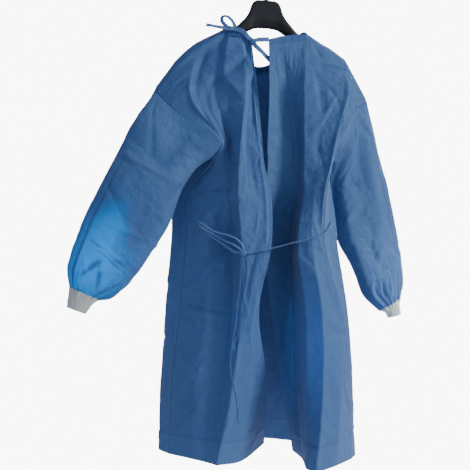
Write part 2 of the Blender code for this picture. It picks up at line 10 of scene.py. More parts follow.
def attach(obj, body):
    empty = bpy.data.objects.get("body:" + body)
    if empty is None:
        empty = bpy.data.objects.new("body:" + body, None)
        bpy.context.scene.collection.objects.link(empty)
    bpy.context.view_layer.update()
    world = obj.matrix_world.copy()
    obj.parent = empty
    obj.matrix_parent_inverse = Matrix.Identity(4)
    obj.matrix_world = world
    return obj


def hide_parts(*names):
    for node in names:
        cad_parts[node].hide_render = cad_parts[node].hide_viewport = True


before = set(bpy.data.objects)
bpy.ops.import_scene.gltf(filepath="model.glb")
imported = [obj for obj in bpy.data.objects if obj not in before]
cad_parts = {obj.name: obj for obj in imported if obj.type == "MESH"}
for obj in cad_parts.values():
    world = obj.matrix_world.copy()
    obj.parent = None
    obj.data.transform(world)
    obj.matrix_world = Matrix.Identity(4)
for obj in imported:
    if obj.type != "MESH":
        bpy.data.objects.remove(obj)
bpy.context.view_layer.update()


# The camera
# A phone held level some two metres behind the gown, a little left of its opening, turned
# twelve degrees to the right and rolled by one.
PICTURE = 470
SENSOR = 36.0
FOCAL = 777.8
STAND = (-0.50547, -2.03947, -0.71110)
TURN = math.radians(12.0)
ROLL = math.radians(1.2)
level = np.array((math.cos(TURN), -math.sin(TURN), 0.0))
plumb = np.array((0.0, 0.0, 1.0))
right = math.cos(ROLL) * level + math.sin(ROLL) * plumb
up = math.cos(ROLL) * plumb - math.sin(ROLL) * level
lens = bpy.data.cameras.new("camera")
lens.lens = SENSOR * FOCAL / PICTURE
lens.sensor_width = SENSOR
lens.clip_start = 0.05
camera = bpy.data.objects.new("camera", lens)
turned = Matrix((right, up, np.cross(right, up))).transposed()
camera.matrix_world = Matrix.Translation(STAND) @ turned.to_4x4()
bpy.context.scene.collection.objects.link(camera)
bpy.context.scene.camera = camera


# The hanger
# A broad moulded hanger for jackets, of black polypropylene with a fine satin grain. Its arch
# is hollowed underneath, and a parting line runs round it where the mould's halves met.
MM = 0.001
HANGER_HALF = 13.0
HANGER_ROUNDING = 0.62
HANGER_SAMPLES = 96
HANGER_SIDES = 96
PARTING_DEPTH = 0.35
PARTING_SPREAD = 0.06
LIP_HEIGHT = 17.0
LIP_RECESS = 1.8
LIP_EDGE = 1.6
LIP_ARM = 74.0
LIP_FADE = 12.0
# How far out along one arm, its top, its bottom and half its depth, in millimetres
HANGER_ARM = (
    (0, -77, -152, 13.0),
    (14, -77.2, -152.5, 13.0),
    (27, -78.4, -154, 13.0),
    (34, -82.6, -156, 13.2),
    (40, -92.5, -159, 13.6),
    (44, -106, -161, 14.0),
    (51, -119.5, -164.5, 14.5),
    (68, -140, -174, 14.5),
    (92, -163, -188, 12.0),
    (112, -176, -199, 12.0),
    (130, -184, -210, 15.5),
    (155, -197, -224, 17.5),
    (190, -220, -248, 17.5),
    (215, -240, -267, 16.5),
    (229, -258, -281, 12.5),
    (236, -270, -279, 2.0),
)


class Value:
    """One output of a material's node. Sums and products of it add Math nodes, and node() adds
    any other kind."""

    def __init__(self, tree, socket=None):
        self.tree = tree
        self.socket = socket

    def node(self, kind, settings=None, inputs=None, out=0):
        """A new node of one kind: its settings are set first, then its sockets' values or links."""
        made = self.tree.nodes.new(kind)
        for key, value in (settings or {}).items():
            setattr(made, key, value)
        for key, value in (inputs or {}).items():
            if isinstance(value, Value):
                self.tree.links.new(value.socket, made.inputs[key])
            else:
                made.inputs[key].default_value = value
        return Value(self.tree, made.outputs[out])

    def noise(self, place, scale, detail):
        """A Noise Texture read at a place, with so many lumps to the metre."""
        return self.node("ShaderNodeTexNoise", {},
                         {"Vector": place, "Scale": scale, "Detail": detail})

    def math(self, operation, first, second=0.0):
        """A Math node on numbers or values."""
        return self.node("ShaderNodeMath", {"operation": operation}, {0: first, 1: second})

    def __add__(self, other):
        return self.math("ADD", self, other)

    def __radd__(self, other):
        return self.math("ADD", other, self)

    def __sub__(self, other):
        return self.math("SUBTRACT", self, other)

    def __rsub__(self, other):
        return self.math("SUBTRACT", other, self)

    def __mul__(self, other):
        return self.math("MULTIPLY", self, other)

    def __rmul__(self, other):
        return self.math("MULTIPLY", other, self)

    def blend(self, first, second):
        """The first colour where this value is 0 and the second where it is 1."""
        return self.node("ShaderNodeMix", {"data_type": "RGBA"}, {0: self, 6: first, 7: second},
                         out=2)


def finish(name):
    """An empty material, its Principled shader and a first Value on its nodes."""
    material = bpy.data.materials.new(name)
    material.use_nodes = True
    return material, material.node_tree.nodes["Principled BSDF"], Value(material.node_tree)


def link(value, socket):
    """Feeds a value to a socket of a shader or an output."""
    value.tree.links.new(value.socket, socket)


def place(name, verts, faces, material, slot, uv=None, smooth_faces=True):
    """A mesh piece from points in millimetres, quads or longer faces as index lists, one material,
    the record's slot, which is not used, and, where given, a texture place for each point."""
    mesh = bpy.data.meshes.new(name)
    mesh.from_pydata((np.asarray(verts, float) * MM).tolist(), [], faces)
    if uv is not None:
        corner = np.empty(len(mesh.loops), np.int32)
        mesh.loops.foreach_get("vertex_index", corner)
        layer = mesh.uv_layers.new(name="UVMap")
        layer.data.foreach_set("uv", np.asarray(uv, np.float32)[corner].ravel())
    mesh.materials.append(material)
    if smooth_faces:
        mesh.shade_smooth()
    mesh.update()
    piece = bpy.data.objects.new(name, mesh)
    bpy.context.scene.collection.objects.link(piece)
    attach(piece, "root")
    return piece


def paint(piece, name, values):
    """A number for each point of a piece, which its material reads by name."""
    attribute = piece.data.attributes.new(name, "FLOAT", "POINT")
    attribute.data.foreach_set("value", np.asarray(values, np.float32).ravel())


def smooth(t, knots, values, fold=None):
    """Cubic curve through values at knots. A knot's slope is that of the two spans beside it,
    each weighted by the other's length; fold, from 0 to 1, turns it into each span's own
    slope, which creases the curve there."""
    knots = np.asarray(knots, float)
    values = np.asarray(values, float)
    t = np.asarray(t, float)
    wide = (-1,) + (1,) * (values.ndim - 1)
    span = np.diff(knots).reshape(wide)
    slope = np.diff(values, axis=0) / span
    tangent = np.empty_like(values)
    tangent[0] = slope[0]
    tangent[-1] = slope[-1]
    tangent[1:-1] = (span[1:] * slope[:-1] + span[:-1] * slope[1:]) / (span[1:] + span[:-1])
    leave, arrive = tangent[:-1], tangent[1:]
    if fold is not None:
        fold = np.asarray(fold, float).reshape(wide)
        leave = leave + (slope - leave) * fold[:-1]
        arrive = arrive + (slope - arrive) * fold[1:]
    k = np.clip(np.searchsorted(knots, t, side="right") - 1, 0, len(knots) - 2)
    h = span[k]
    s = (t - knots[k]).reshape(wide) / h
    before = (1 + 2 * s) * (1 - s) ** 2 * values[k] + s * (1 - s) ** 2 * h * leave[k]
    after = s ** 2 * (3 - 2 * s) * values[k + 1] - s ** 2 * (1 - s) * h * arrive[k]
    return before + after


def along(points):
    """Knots from 0 to 1 along points [k, ..., xyz], by their mean distance apart."""
    steps = np.linalg.norm(np.diff(points, axis=0), axis=-1)
    if steps.ndim > 1:
        steps = steps.mean(axis=1)
    total = np.concatenate([[0.0], np.cumsum(steps)])
    return total / total[-1]


def tube_faces(rings, sides, first_point=0, capped=True):
    """Quads between rings of equal point counts, each ring's last point joined to its
    first, with a polygon over each end when capped."""
    a = np.arange(rings - 1)[:, None] * sides + np.arange(sides)[None, :]
    b = np.arange(rings - 1)[:, None] * sides + (np.arange(sides)[None, :] + 1) % sides
    quads = np.stack([a, b, b + sides, a + sides], axis=-1).reshape(-1, 4) + first_point
    faces = quads.tolist()
    if capped:
        start = np.arange(sides) + first_point
        faces.append(start[::-1].tolist())
        faces.append((start + (rings - 1) * sides).tolist())
    return faces


def moulded_hanger():
    """Rounded sections along the arm: at angle a the depth is cos(a) and the height sin(a), both
    raised to the rounding, with a groove where a is 90 or 270 degrees. Over the arch the faces
    step in to a recessed lip along the lower edge. Also how deep each point lies in that lip."""
    arm = np.array(HANGER_ARM, float)
    full = np.concatenate([arm[:0:-1] * (-1, 1, 1, 1), arm])
    t = (1 - np.cos(np.linspace(0, math.pi, 2 * HANGER_SAMPLES + 1))) / 2
    t = 0.5 * t + 0.5 * np.linspace(0, 1, 2 * HANGER_SAMPLES + 1)
    x, top, bottom, depth = smooth(t, along(full[:, :3]), full).T
    angle = 2 * math.pi * np.arange(HANGER_SIDES) / HANGER_SIDES
    cos, sin = np.cos(angle), np.sin(angle)
    round_y = np.sign(cos) * np.abs(cos) ** HANGER_ROUNDING
    round_z = np.sign(sin) * np.abs(sin) ** HANGER_ROUNDING
    groove = 1 - PARTING_DEPTH / HANGER_HALF * np.exp(-(cos / PARTING_SPREAD) ** 2)
    middle, tall = (top + bottom) / 2, (top - bottom) / 2
    z = middle[:, None] + tall[:, None] * (round_z * groove)[None]
    over_arch = np.clip((LIP_ARM - np.abs(x)) / LIP_FADE, 0.0, 1.0)[:, None]
    lip = over_arch / (1 + np.exp((z - bottom[:, None] - LIP_HEIGHT) / LIP_EDGE * 2))
    y = depth[:, None] * round_y[None] * (1 - lip * LIP_RECESS / HANGER_HALF)
    points = np.stack([np.repeat(x[:, None], HANGER_SIDES, 1), y, z], axis=-1)
    return points.reshape(-1, 3), tube_faces(len(x), HANGER_SIDES), lip


black_plastic, shader, value = finish("black_plastic")
where = value.node("ShaderNodeTexCoord", out=3)
grain = value.noise(where, 2600.0, 3.0)
handling = value.noise(where, 38.0, 4.0)
plastic = handling.blend((0.007, 0.0085, 0.012, 1), (0.014, 0.016, 0.020, 1))
# Painted shade: the recessed lip under the arch is coloured darker than the rest of the plastic, as
# the shadow inside it.
lip_painted_shade = value.node("ShaderNodeAttribute", {"attribute_name": "lip"}, out=2)
link(lip_painted_shade.blend(plastic, (0.004, 0.005, 0.008, 1)), shader.inputs["Base Color"])
link(0.44 + handling * 0.2, shader.inputs["Roughness"])
shader.inputs["Specular IOR Level"].default_value = 0.3
bump = value.node("ShaderNodeBump", {}, {"Strength": 0.25, "Distance": 0.0002, "Height": grain})
link(bump, shader.inputs["Normal"])
points, faces, lip = moulded_hanger()
hanger = place("moulded_hanger", points, faces, black_plastic, "hanger")
paint(hanger, "lip", lip)
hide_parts("hanger_body")


# The hook
# Plated spring wire, bent to a question mark with a small ball at its tip, and set in the
# hanger's top through a turned collar.
HOOK_WIRE = 3.6
HOOK_RADIUS = 21.0
HOOK_STEM = ((0.0, -76.7), (0.0, -68.7), (1.5, -58.7), (7.0, -48.2))
HOOK_ARC = (-50.0, 200.0)
HOOK_TIP_RADIUS = 1.95
HOOK_STEPS = 150
HOOK_SIDES = 20
BALL_RINGS = 11
BALL_REACH = 1.5
COLLAR_SIDES = 32
COLLAR_SINK = 3.0
HOOK_COLLAR = ((0.0, 2.0), (7.6, 2.0), (7.9, 2.4), (7.9, 3.4), (7.2, 4.0), (6.3, 4.4), (5.8, 5.4),
               (5.8, 6.0), (4.6, 7.0), (0.0, 7.2))


def frames_along(path):
    """Unit directions along a path, and at each point a side and a rise square to it, the
    side lying as near as it can to the picture's -Y."""
    ahead = np.gradient(path, axis=0)
    ahead /= np.linalg.norm(ahead, axis=1, keepdims=True)
    face = np.array((0.0, -1.0, 0.0)) - ahead * -ahead[:, 1:2]
    face /= np.maximum(np.linalg.norm(face, axis=1, keepdims=True), 1e-6)
    return ahead, face, np.cross(ahead, face)


def swept(path, radius, sides):
    """A round tube: at each point of the path a circle of its radius, square to the path."""
    ahead, face, rise = frames_along(path)
    angle = 2 * math.pi * np.arange(sides) / sides
    cos, sin = np.cos(angle)[None, :, None], np.sin(angle)[None, :, None]
    ring = cos * face[:, None] + sin * rise[:, None]
    return (path[:, None] + ring * np.asarray(radius)[:, None, None]).reshape(-1, 3)


def ball_points(sides, rings, reach):
    """Points [ring, side, xyz] of a ball of radius 1, from minus to plus the reach in radians
    above its middle: cos turn cos rise, sin turn cos rise and sin rise; also turn and rise."""
    turn, rise = np.meshgrid(np.arange(sides) * 2 * math.pi / sides,
                             np.linspace(-reach, reach, rings))
    level_x, level_y = np.cos(turn) * np.cos(rise), np.sin(turn) * np.cos(rise)
    return np.stack([level_x, level_y, np.sin(rise)], axis=-1), turn, rise


plated_wire, shader, value = finish("plated_wire")
where = value.node("ShaderNodeTexCoord", out=3)
drawn = value.noise(where, 900.0, 2.0)
link(drawn.blend((0.42, 0.42, 0.43, 1), (0.60, 0.60, 0.61, 1)), shader.inputs["Base Color"])
shader.inputs["Metallic"].default_value = 1.0
link(0.16 + drawn * 0.14, shader.inputs["Roughness"])

wire_radius = HOOK_RADIUS + HOOK_WIRE / 2
stem = [(x, 0.0, z) for x, z in HOOK_STEM]
arc = [(wire_radius * math.cos(a), 0.0, wire_radius * math.sin(a) - HOOK_RADIUS)
       for a in np.radians(np.linspace(*HOOK_ARC, 11))]
wire_line = np.array(stem + arc)
wire_line = smooth(np.linspace(0, 1, HOOK_STEPS), along(wire_line), wire_line)
points = swept(wire_line, np.full(HOOK_STEPS, HOOK_WIRE / 2), HOOK_SIDES)
faces = tube_faces(HOOK_STEPS, HOOK_SIDES)
ball = ball_points(HOOK_SIDES, BALL_RINGS, BALL_REACH)[0]
faces += tube_faces(BALL_RINGS, HOOK_SIDES, len(points))
points = np.concatenate([points, wire_line[-1] + HOOK_TIP_RADIUS * ball.reshape(-1, 3)])
collar = np.array(HOOK_COLLAR)
turn = np.arange(COLLAR_SIDES) * 2 * math.pi / COLLAR_SIDES
seat = HANGER_ARM[0][1] - COLLAR_SINK
spun = np.stack([collar[:, :1] * np.cos(turn), collar[:, :1] * np.sin(turn),
                 np.repeat(collar[:, 1:] + seat, COLLAR_SIDES, 1)], axis=-1)
spun[[0, -1], :, :2] += np.stack([np.cos(turn), np.sin(turn)], axis=-1) * 0.05
faces += tube_faces(len(collar), COLLAR_SIDES, len(points))
points = np.concatenate([points, spun.reshape(-1, 3)])
hook = place("wire_hook", points, faces, plated_wire, "hook")
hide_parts("hanger_hook")


# The back panels
# Two cut lengths of blue spunbonded nonwoven, about 0.4 mm thick, joined to the front along the
# shoulders and sides. The left one laps over the right, and both hang in soft pleats.
CLOTH = 0.55
FULLEST = 0.999
LEVEL_Z = (None, -340, -478, -520, -600, -722, -900, -1090, None)
# Each line's place across and in depth at each level, with its height where that isn't the
# level's own
LEFT_BACK = {
    "edge": ((-44, -31, -199), (-28, -45), (-17, -66), (-14, -73), (1, -91), (-2, -125),
             (-31, -121), (14, -36), (40, 76, -1294)),
    "band": ((-54, -29, -187), (-42, -42), (-45, -70), (-44, -78), (-43, -97), (-43, -128),
             (-55, -129), (-42, -90), (-58, -70, -1300)),
    "crest": ((-76, -33, -171), (-64, -62), (-82, -90), (-85, -95), (-89, -106), (-84, -131),
              (-79, -127), (-96, -120), (-131, -112, -1294)),
    "valley": ((-113, -26, -170), (-141, -36), (-103, -50), (-101, -53), (-100, -62), (-95, -76),
               (-91, -77), (-114, -86), (-150, -92, -1292)),
    "middle": ((-218, -26, -248), (-192, -56, -352), (-117, -70), (-128, -57), (-156, -48),
               (-155, -80), (-165, -85), (-186, -86), (-194, -75, -1284)),
    "side": ((-294, -26, -347), (-240, -56, -400), (-131, -84, -480), (-148, -46, -512),
             (-203, -18), (-211, -46), (-222, -45), (-238, -36), (-240, -20, -1286)),
}
RIGHT_BACK = {
    "edge": ((2, -31, -188), (6, -33), (3, -35), (4, -36), (0, -38), (3, -34), (30, 0),
             (68, 20), (112, 38, -1306)),
    "valley": ((36, -28, -177), (66, -12), (87, -13), (86, -13), (84, -14), (78, 4), (94, 16),
               (107, 20), (116, -38, -1306)),
    "pull": ((108, -26, -164), (98, -50), (99, -57), (98, -61), (94, -76), (68, -121),
             (98, -106), (106, -106), (98, -136, -1305)),
    "crest": ((158, -26, -199), (156, -52), (141, -63), (134, -70), (116, -93), (102, -132),
              (131, -137), (134, -150), (114, -166, -1307)),
    "roll": ((224, -26, -239), (210, -57), (178, -76), (169, -84), (149, -103), (143, -117),
             (196, -92), (195, -112), (184, -126, -1303)),
    "side": ((285, -26, -339), (240, -44, -374), (200, -52, -456), (192, -8, -500),
             (190, -20), (191, -32), (235, -32), (254, -34), (250, -56, -1308)),
}
# How sharply each line is creased, from 0, rolled, to 1, folded
LEFT_FOLD = (0.0, 0.55, 0.95, 0.9, 0.15, 0.0)
RIGHT_FOLD = (0.0, 0.6, 0.95, 0.9, 1.0, 0.0)
LEFT_ARMHOLE_FRONT = ((-292, 1, -328), (-289, 25, -346), (-266, 44, -402), (-214, 40, -478))
RIGHT_ARMHOLE_FRONT = ((283, 1, -320), (280, 25, -338), (262, 44, -390), (216, 50, -464))
DOWN = np.array([0.0, 0.165, 0.285, 0.33, 0.41, 0.515, 0.665, 0.825, 1.0])
UNDERARM = DOWN[3]
LOW_ARMHOLE = 0.265
CROWN = (0.0175, 0.035, 0.0525, 0.074)
HEM_SHARE = 0.049
NECK_STEPS = 58
SHOULDER_STEPS = 62
ROWS_PER_STEP = 6
ARMHOLE_ROWS = 14 * ROWS_PER_STEP
SIDE_ROWS = 176
HEM_ROWS = 16
BODY_MIDDLE = np.array([0.0, 20.0, -700.0])
CUT_LENGTH = 1150.0
BACK_CUT = 400.0
CREASE_POWER = 1.5
CREASE_ENDS = 0.35
CRUMPLE_LEAN = 0.75
CRUMPLE_ACROSS = 0.3
CRUMPLE_RUN = (25, 110, 2.2)
CRUMPLE_RISES = 0.6


def lines_to_points(lines):
    """Points [line, level, xyz] of a panel's table, with the level's height filled in."""
    rows = []
    for stations in lines.values():
        heights = LEVEL_Z[-len(stations):]
        rows.append([(p[0], p[1], p[2] if len(p) == 3 else z) for p, z in zip(stations, heights)])
    return np.array(rows, float)


def spread(stops, counts):
    """Samples that hit every stop, with the given number of steps between each two."""
    parts = [np.linspace(a, b, n + 1)[:-1] for a, b, n in zip(stops[:-1], stops[1:], counts)]
    return np.concatenate(parts + [[stops[-1]]])


def down_rows():
    """Rows of every panel: over the shoulder, down the armhole, down the side and the hem."""
    stops = (0.0, *CROWN, UNDERARM, 1.0 - HEM_SHARE, 1.0)
    counts = (ROWS_PER_STEP,) * 4 + (ARMHOLE_ROWS - 4 * ROWS_PER_STEP, SIDE_ROWS, HEM_ROWS)
    return spread(stops, counts)


def side_line(stations, front_stations):
    """The armhole's two edges, down the back and down the front, and the side seam below."""
    rows = down_rows()
    upper, lower = rows[:ARMHOLE_ROWS + 1], rows[ARMHOLE_ROWS + 1:]
    back_edge = smooth(upper, DOWN[:4], stations[:4])
    front_points = np.array([stations[0], *front_stations, stations[3]], float)
    front_knots = (0.0, CROWN[1], CROWN[3], DOWN[1], LOW_ARMHOLE, UNDERARM)
    front_edge = smooth(upper, front_knots, front_points)
    seam = smooth(lower, DOWN[3:], stations[3:])
    return np.concatenate([back_edge, seam]), np.concatenate([front_edge, seam])


def back_grid(lines, neck_line, fold):
    """Outer points [across, down, xyz] of a back panel, from its free edge to its side: a
    smooth curve through the lines at each level, then one down the levels."""
    points = lines_to_points(lines)
    knots = along(points)
    corner = list(lines).index(neck_line)
    across = spread((0.0, knots[corner], 1.0), (NECK_STEPS, SHOULDER_STEPS))
    levels = np.array([smooth(across, knots, points[:, k], fold) for k in range(len(LEVEL_Z))])
    return smooth(down_rows(), DOWN, levels).transpose(1, 0, 2), across


def normals_of(grid, closed=False):
    """Unit normal at each point of a grid, the mean of the faces round it; closed joins
    the first and last columns."""
    whole = np.concatenate([grid, grid[:1]]) if closed else grid
    face = np.cross(whole[1:, 1:] - whole[:-1, :-1], whole[:-1, 1:] - whole[1:, :-1])
    face /= np.maximum(np.linalg.norm(face, axis=-1, keepdims=True), 1e-9)
    normal = np.zeros_like(whole)
    for part in (normal[:-1, :-1], normal[1:, :-1], normal[:-1, 1:], normal[1:, 1:]):
        part += face
    if closed:
        normal[0] += normal[-1]
        normal = normal[:-1]
    return normal / np.maximum(np.linalg.norm(normal, axis=-1, keepdims=True), 1e-9)


def outward(grid, middle, closed=False):
    """Normals of a grid, turned to the side that faces away from a middle."""
    normal = normals_of(grid, closed)
    return normal if (normal * (grid - middle)).sum() > 0 else -normal


def eased(x):
    """0 below 0, 1 above 1, and a smooth step between."""
    x = np.clip(x, 0.0, 1.0)
    return x * x * (3 - 2 * x)


def creases(across, down, rows):
    """Height of creases over places given in millimetres across and down a flat panel. A row is
    a start, an end, the width of its flank on each side, a height that is below 0 for a trough,
    and a rounding: each flank falls off from the line as a power of (1 - distance / width), and
    the line dies away over a share of its run towards both ends."""
    height = np.zeros(np.broadcast(across, down).shape)
    for x0, y0, x1, y1, left, right_flank, tall, rounding in rows:
        run = math.hypot(x1 - x0, y1 - y0)
        go = ((across - x0) * (x1 - x0) + (down - y0) * (y1 - y0)) / run
        off = ((across - x0) * (y1 - y0) - (down - y0) * (x1 - x0)) / run
        past = np.maximum(np.maximum(-go, go - run), 0)
        apart = np.sqrt(off ** 2 + past ** 2 + rounding ** 2) - rounding
        flank = np.where(off > 0, right_flank, left)
        ends = eased(np.minimum(go, run - go) / (CREASE_ENDS * run))
        height += tall * ends * np.clip(1 - apart / flank, 0, 1) ** CREASE_POWER
    return height


def crumple(seed, count, width, length, tall):
    """Seeded small creases for the stretches that no listed crease covers: mostly short and
    shallow, a few long, and more of them running down the cloth than across."""
    draw = np.random.default_rng(seed)
    shortest, longer, rarity = CRUMPLE_RUN
    rows = []
    for _ in range(count):
        x, y = draw.uniform(0, width), draw.uniform(0, length)
        heading = draw.normal(0, CRUMPLE_LEAN)
        heading += math.pi / 2 if draw.random() < CRUMPLE_ACROSS else 0
        run = shortest + longer * draw.random() ** rarity
        flanks = draw.uniform(6, 10 + run / 5, 2)
        sign = 1 if draw.random() < CRUMPLE_RISES else -1
        height = sign * tall * draw.uniform(0.35, 1.0) * (run / 90) ** 0.6
        end_x, end_y = x + run * math.sin(heading), y + run * math.cos(heading)
        rows.append((x, y, end_x, end_y, *flanks, height, draw.uniform(0.2, 1.4)))
    return rows


def panel_faces(columns, rows, closed=False):
    """Quads of a wall between an outer and an inner grid, with its open borders closed."""
    wide = columns if closed else columns - 1
    i, j = np.meshgrid(np.arange(wide), np.arange(rows - 1), indexing="ij")
    a, b = i * rows + j, (i + 1) % columns * rows + j
    inside = columns * rows
    out = np.stack([a, b, b + 1, a + 1], axis=-1).reshape(-1, 4)
    back_face = out[:, ::-1] + inside
    borders = []
    i = np.arange(wide)
    for j, step in ((0, 1), (rows - 1, -1)):
        a, b = i * rows + j, (i + 1) % columns * rows + j
        quad = np.stack([a, a + inside, b + inside, b], axis=-1)
        borders.append(quad[:, ::step])
    if not closed:
        j = np.arange(rows - 1)
        for i, step in ((0, -1), (columns - 1, 1)):
            a, b = i * rows + j, i * rows + j + 1
            quad = np.stack([a, a + inside, b + inside, b], axis=-1)
            borders.append(quad[:, ::step])
    return np.concatenate([out, back_face, *borders])


def cloth_piece(node, kind, grid, normal, material, slot, rests_on, thick=CLOTH,
                closed=False, tone=0.0, folds=1):
    """A thin closed wall of cloth on a grid of outer points, which stands for a node of the frame.
    Its cut, the mean length across it and down it as often as it is folded over, is worked out but
    not used; its texture follows both lengths in metres, and tone is how much lighter than plain
    cloth each point is."""
    columns, rows = grid.shape[:2]
    inner = grid - normal * thick
    steps = np.linalg.norm(np.diff(grid, axis=0), axis=-1).mean(axis=1)
    falls = np.linalg.norm(np.diff(grid, axis=1), axis=-1).mean(axis=0)
    u = np.concatenate([[0.0], np.cumsum(steps)])[:, None] + np.zeros((1, rows))
    v = np.concatenate([[0.0], np.cumsum(falls)])[None, :] + np.zeros((columns, 1))
    uv = np.tile(np.stack([u, v], axis=-1).reshape(-1, 2) * MM, (2, 1))
    faces = panel_faces(columns, rows, closed)
    if (np.cross(grid[1, 0] - grid[0, 0], grid[1, 1] - grid[0, 0]) * normal[0, 0]).sum() < 0:
        faces = faces[:, ::-1]
    verts = np.concatenate([grid.reshape(-1, 3), inner.reshape(-1, 3)])
    piece = place(node + "_" + kind, verts, faces.tolist(), material, slot, uv)
    paint(piece, "tone", np.tile(np.broadcast_to(tone, (columns, rows)).reshape(-1), 2))
    wide, tall = steps.sum() * MM, folds * falls.sum() * MM
    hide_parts(node)
    min(cloth_area(grid, closed), FULLEST * wide * tall)
    return piece


def cloth_area(grid, closed=False):
    """Square metres of a grid of points, from the two triangles of each quad."""
    whole = np.concatenate([grid, grid[:1]]) if closed else grid
    a, b, c, d = whole[:-1, :-1], whole[1:, :-1], whole[1:, 1:], whole[:-1, 1:]
    twice = (np.linalg.norm(np.cross(b - a, c - a), axis=-1)
             + np.linalg.norm(np.cross(c - a, d - a), axis=-1))
    return twice.sum() / 2 * MM * MM


# Lumps to the metre and height in millimetres of each crinkle noise
CRINKLES = ((13.0, 10.5), (31.0, 5.5), (74.0, 2.0))
CLOUDED = 0.9
STREAKED = 0.5
BOND_HEIGHT = 0.05
FIBRE_HEIGHT = 0.25
CLOUD_HEIGHT = 0.4
FIBRE_STREAKS = (900.0, 140.0, 1.0)
BOND_PITCH = (4200.0, 4200.0, 0.0)
THROUGH_DOUBLE = (0.29, 0.42, 0.66, 1)
THROUGH_SINGLE = (0.18, 0.65, 0.85, 1)
SHEER_SHARE = 0.7


def nonwoven(name, dark, pale, thin):
    """Spunbonded cloth: cloudy fibre density, drawn streaks, point bonds and small crinkles, which
    are the folded heights of three noises, all read from the cloth's own lengths; thin is the share
    of light that comes through, and more does where the piece is painted sheer."""
    material, shader, value = finish(name)
    cloth_place = value.node("ShaderNodeUVMap", {"uv_map": "UVMap"})
    cloud = value.node("ShaderNodeTexNoise", {},
                       {"Vector": cloth_place, "Scale": 55.0, "Detail": 5.0, "Roughness": 0.6})
    streaks = value.node("ShaderNodeVectorMath", {"operation": "MULTIPLY"},
                         {0: cloth_place, 1: FIBRE_STREAKS})
    fibres = value.noise(streaks, 1.0, 3.0)
    tone = value.node("ShaderNodeAttribute", {"attribute_name": "tone"}, out=2)
    # tone holds painted shade in crease troughs, besides whitened ridges, doubled hems, darker
    # stitching and seams.
    shade = 0.5 + (cloud - 0.5) * CLOUDED + (fibres - 0.5) * STREAKED + tone
    link(shade.blend((*dark, 1), (*pale, 1)), shader.inputs["Base Color"])
    pitch = value.node("ShaderNodeVectorMath", {"operation": "MULTIPLY"},
                       {0: cloth_place, 1: BOND_PITCH})
    bonds = value.node("ShaderNodeVectorMath", {"operation": "SINE"}, {0: pitch})
    parts = value.node("ShaderNodeSeparateXYZ", {}, {0: bonds})
    down_bonds = Value(value.tree, parts.socket.node.outputs[1])
    relief = parts * down_bonds * BOND_HEIGHT + fibres * FIBRE_HEIGHT + cloud * CLOUD_HEIGHT
    for scale, tall in CRINKLES:
        lumps = value.noise(cloth_place, scale, 1.5)
        relief = relief + value.math("ABSOLUTE", lumps - 0.5) * tall
    bump = value.node("ShaderNodeBump", {}, {"Strength": 0.8, "Distance": MM, "Height": relief})
    link(bump, shader.inputs["Normal"])
    link(0.62 + fibres * 0.2, shader.inputs["Roughness"])
    shader.inputs["Specular IOR Level"].default_value = 0.35
    shader.inputs["Sheen Weight"].default_value = 0.12
    shader.inputs["Sheen Roughness"].default_value = 0.45
    sheer = value.node("ShaderNodeAttribute", {"attribute_name": "sheer"}, out=2)
    seen = Value(value.tree, shader.outputs[0])
    for share, colour in ((thin, THROUGH_DOUBLE), (sheer * SHEER_SHARE, THROUGH_SINGLE)):
        through = value.node("ShaderNodeBsdfTranslucent", {}, {"Color": colour, "Normal": bump})
        seen = value.node("ShaderNodeMixShader", {}, {0: share, 1: seen, 2: through})
    link(seen, material.node_tree.nodes["Material Output"].inputs[0])
    return material


blue_cloth = nonwoven("blue_nonwoven", (0.046, 0.125, 0.322), (0.084, 0.191, 0.420), 0.26)
left_back, left_across = back_grid(LEFT_BACK, "valley", LEFT_FOLD)
right_back, right_across = back_grid(RIGHT_BACK, "pull", RIGHT_FOLD)
left_back[-1], left_edge = side_line(lines_to_points(LEFT_BACK)[-1], LEFT_ARMHOLE_FRONT)
right_back[-1], right_edge = side_line(lines_to_points(RIGHT_BACK)[-1], RIGHT_ARMHOLE_FRONT)
down = down_rows()
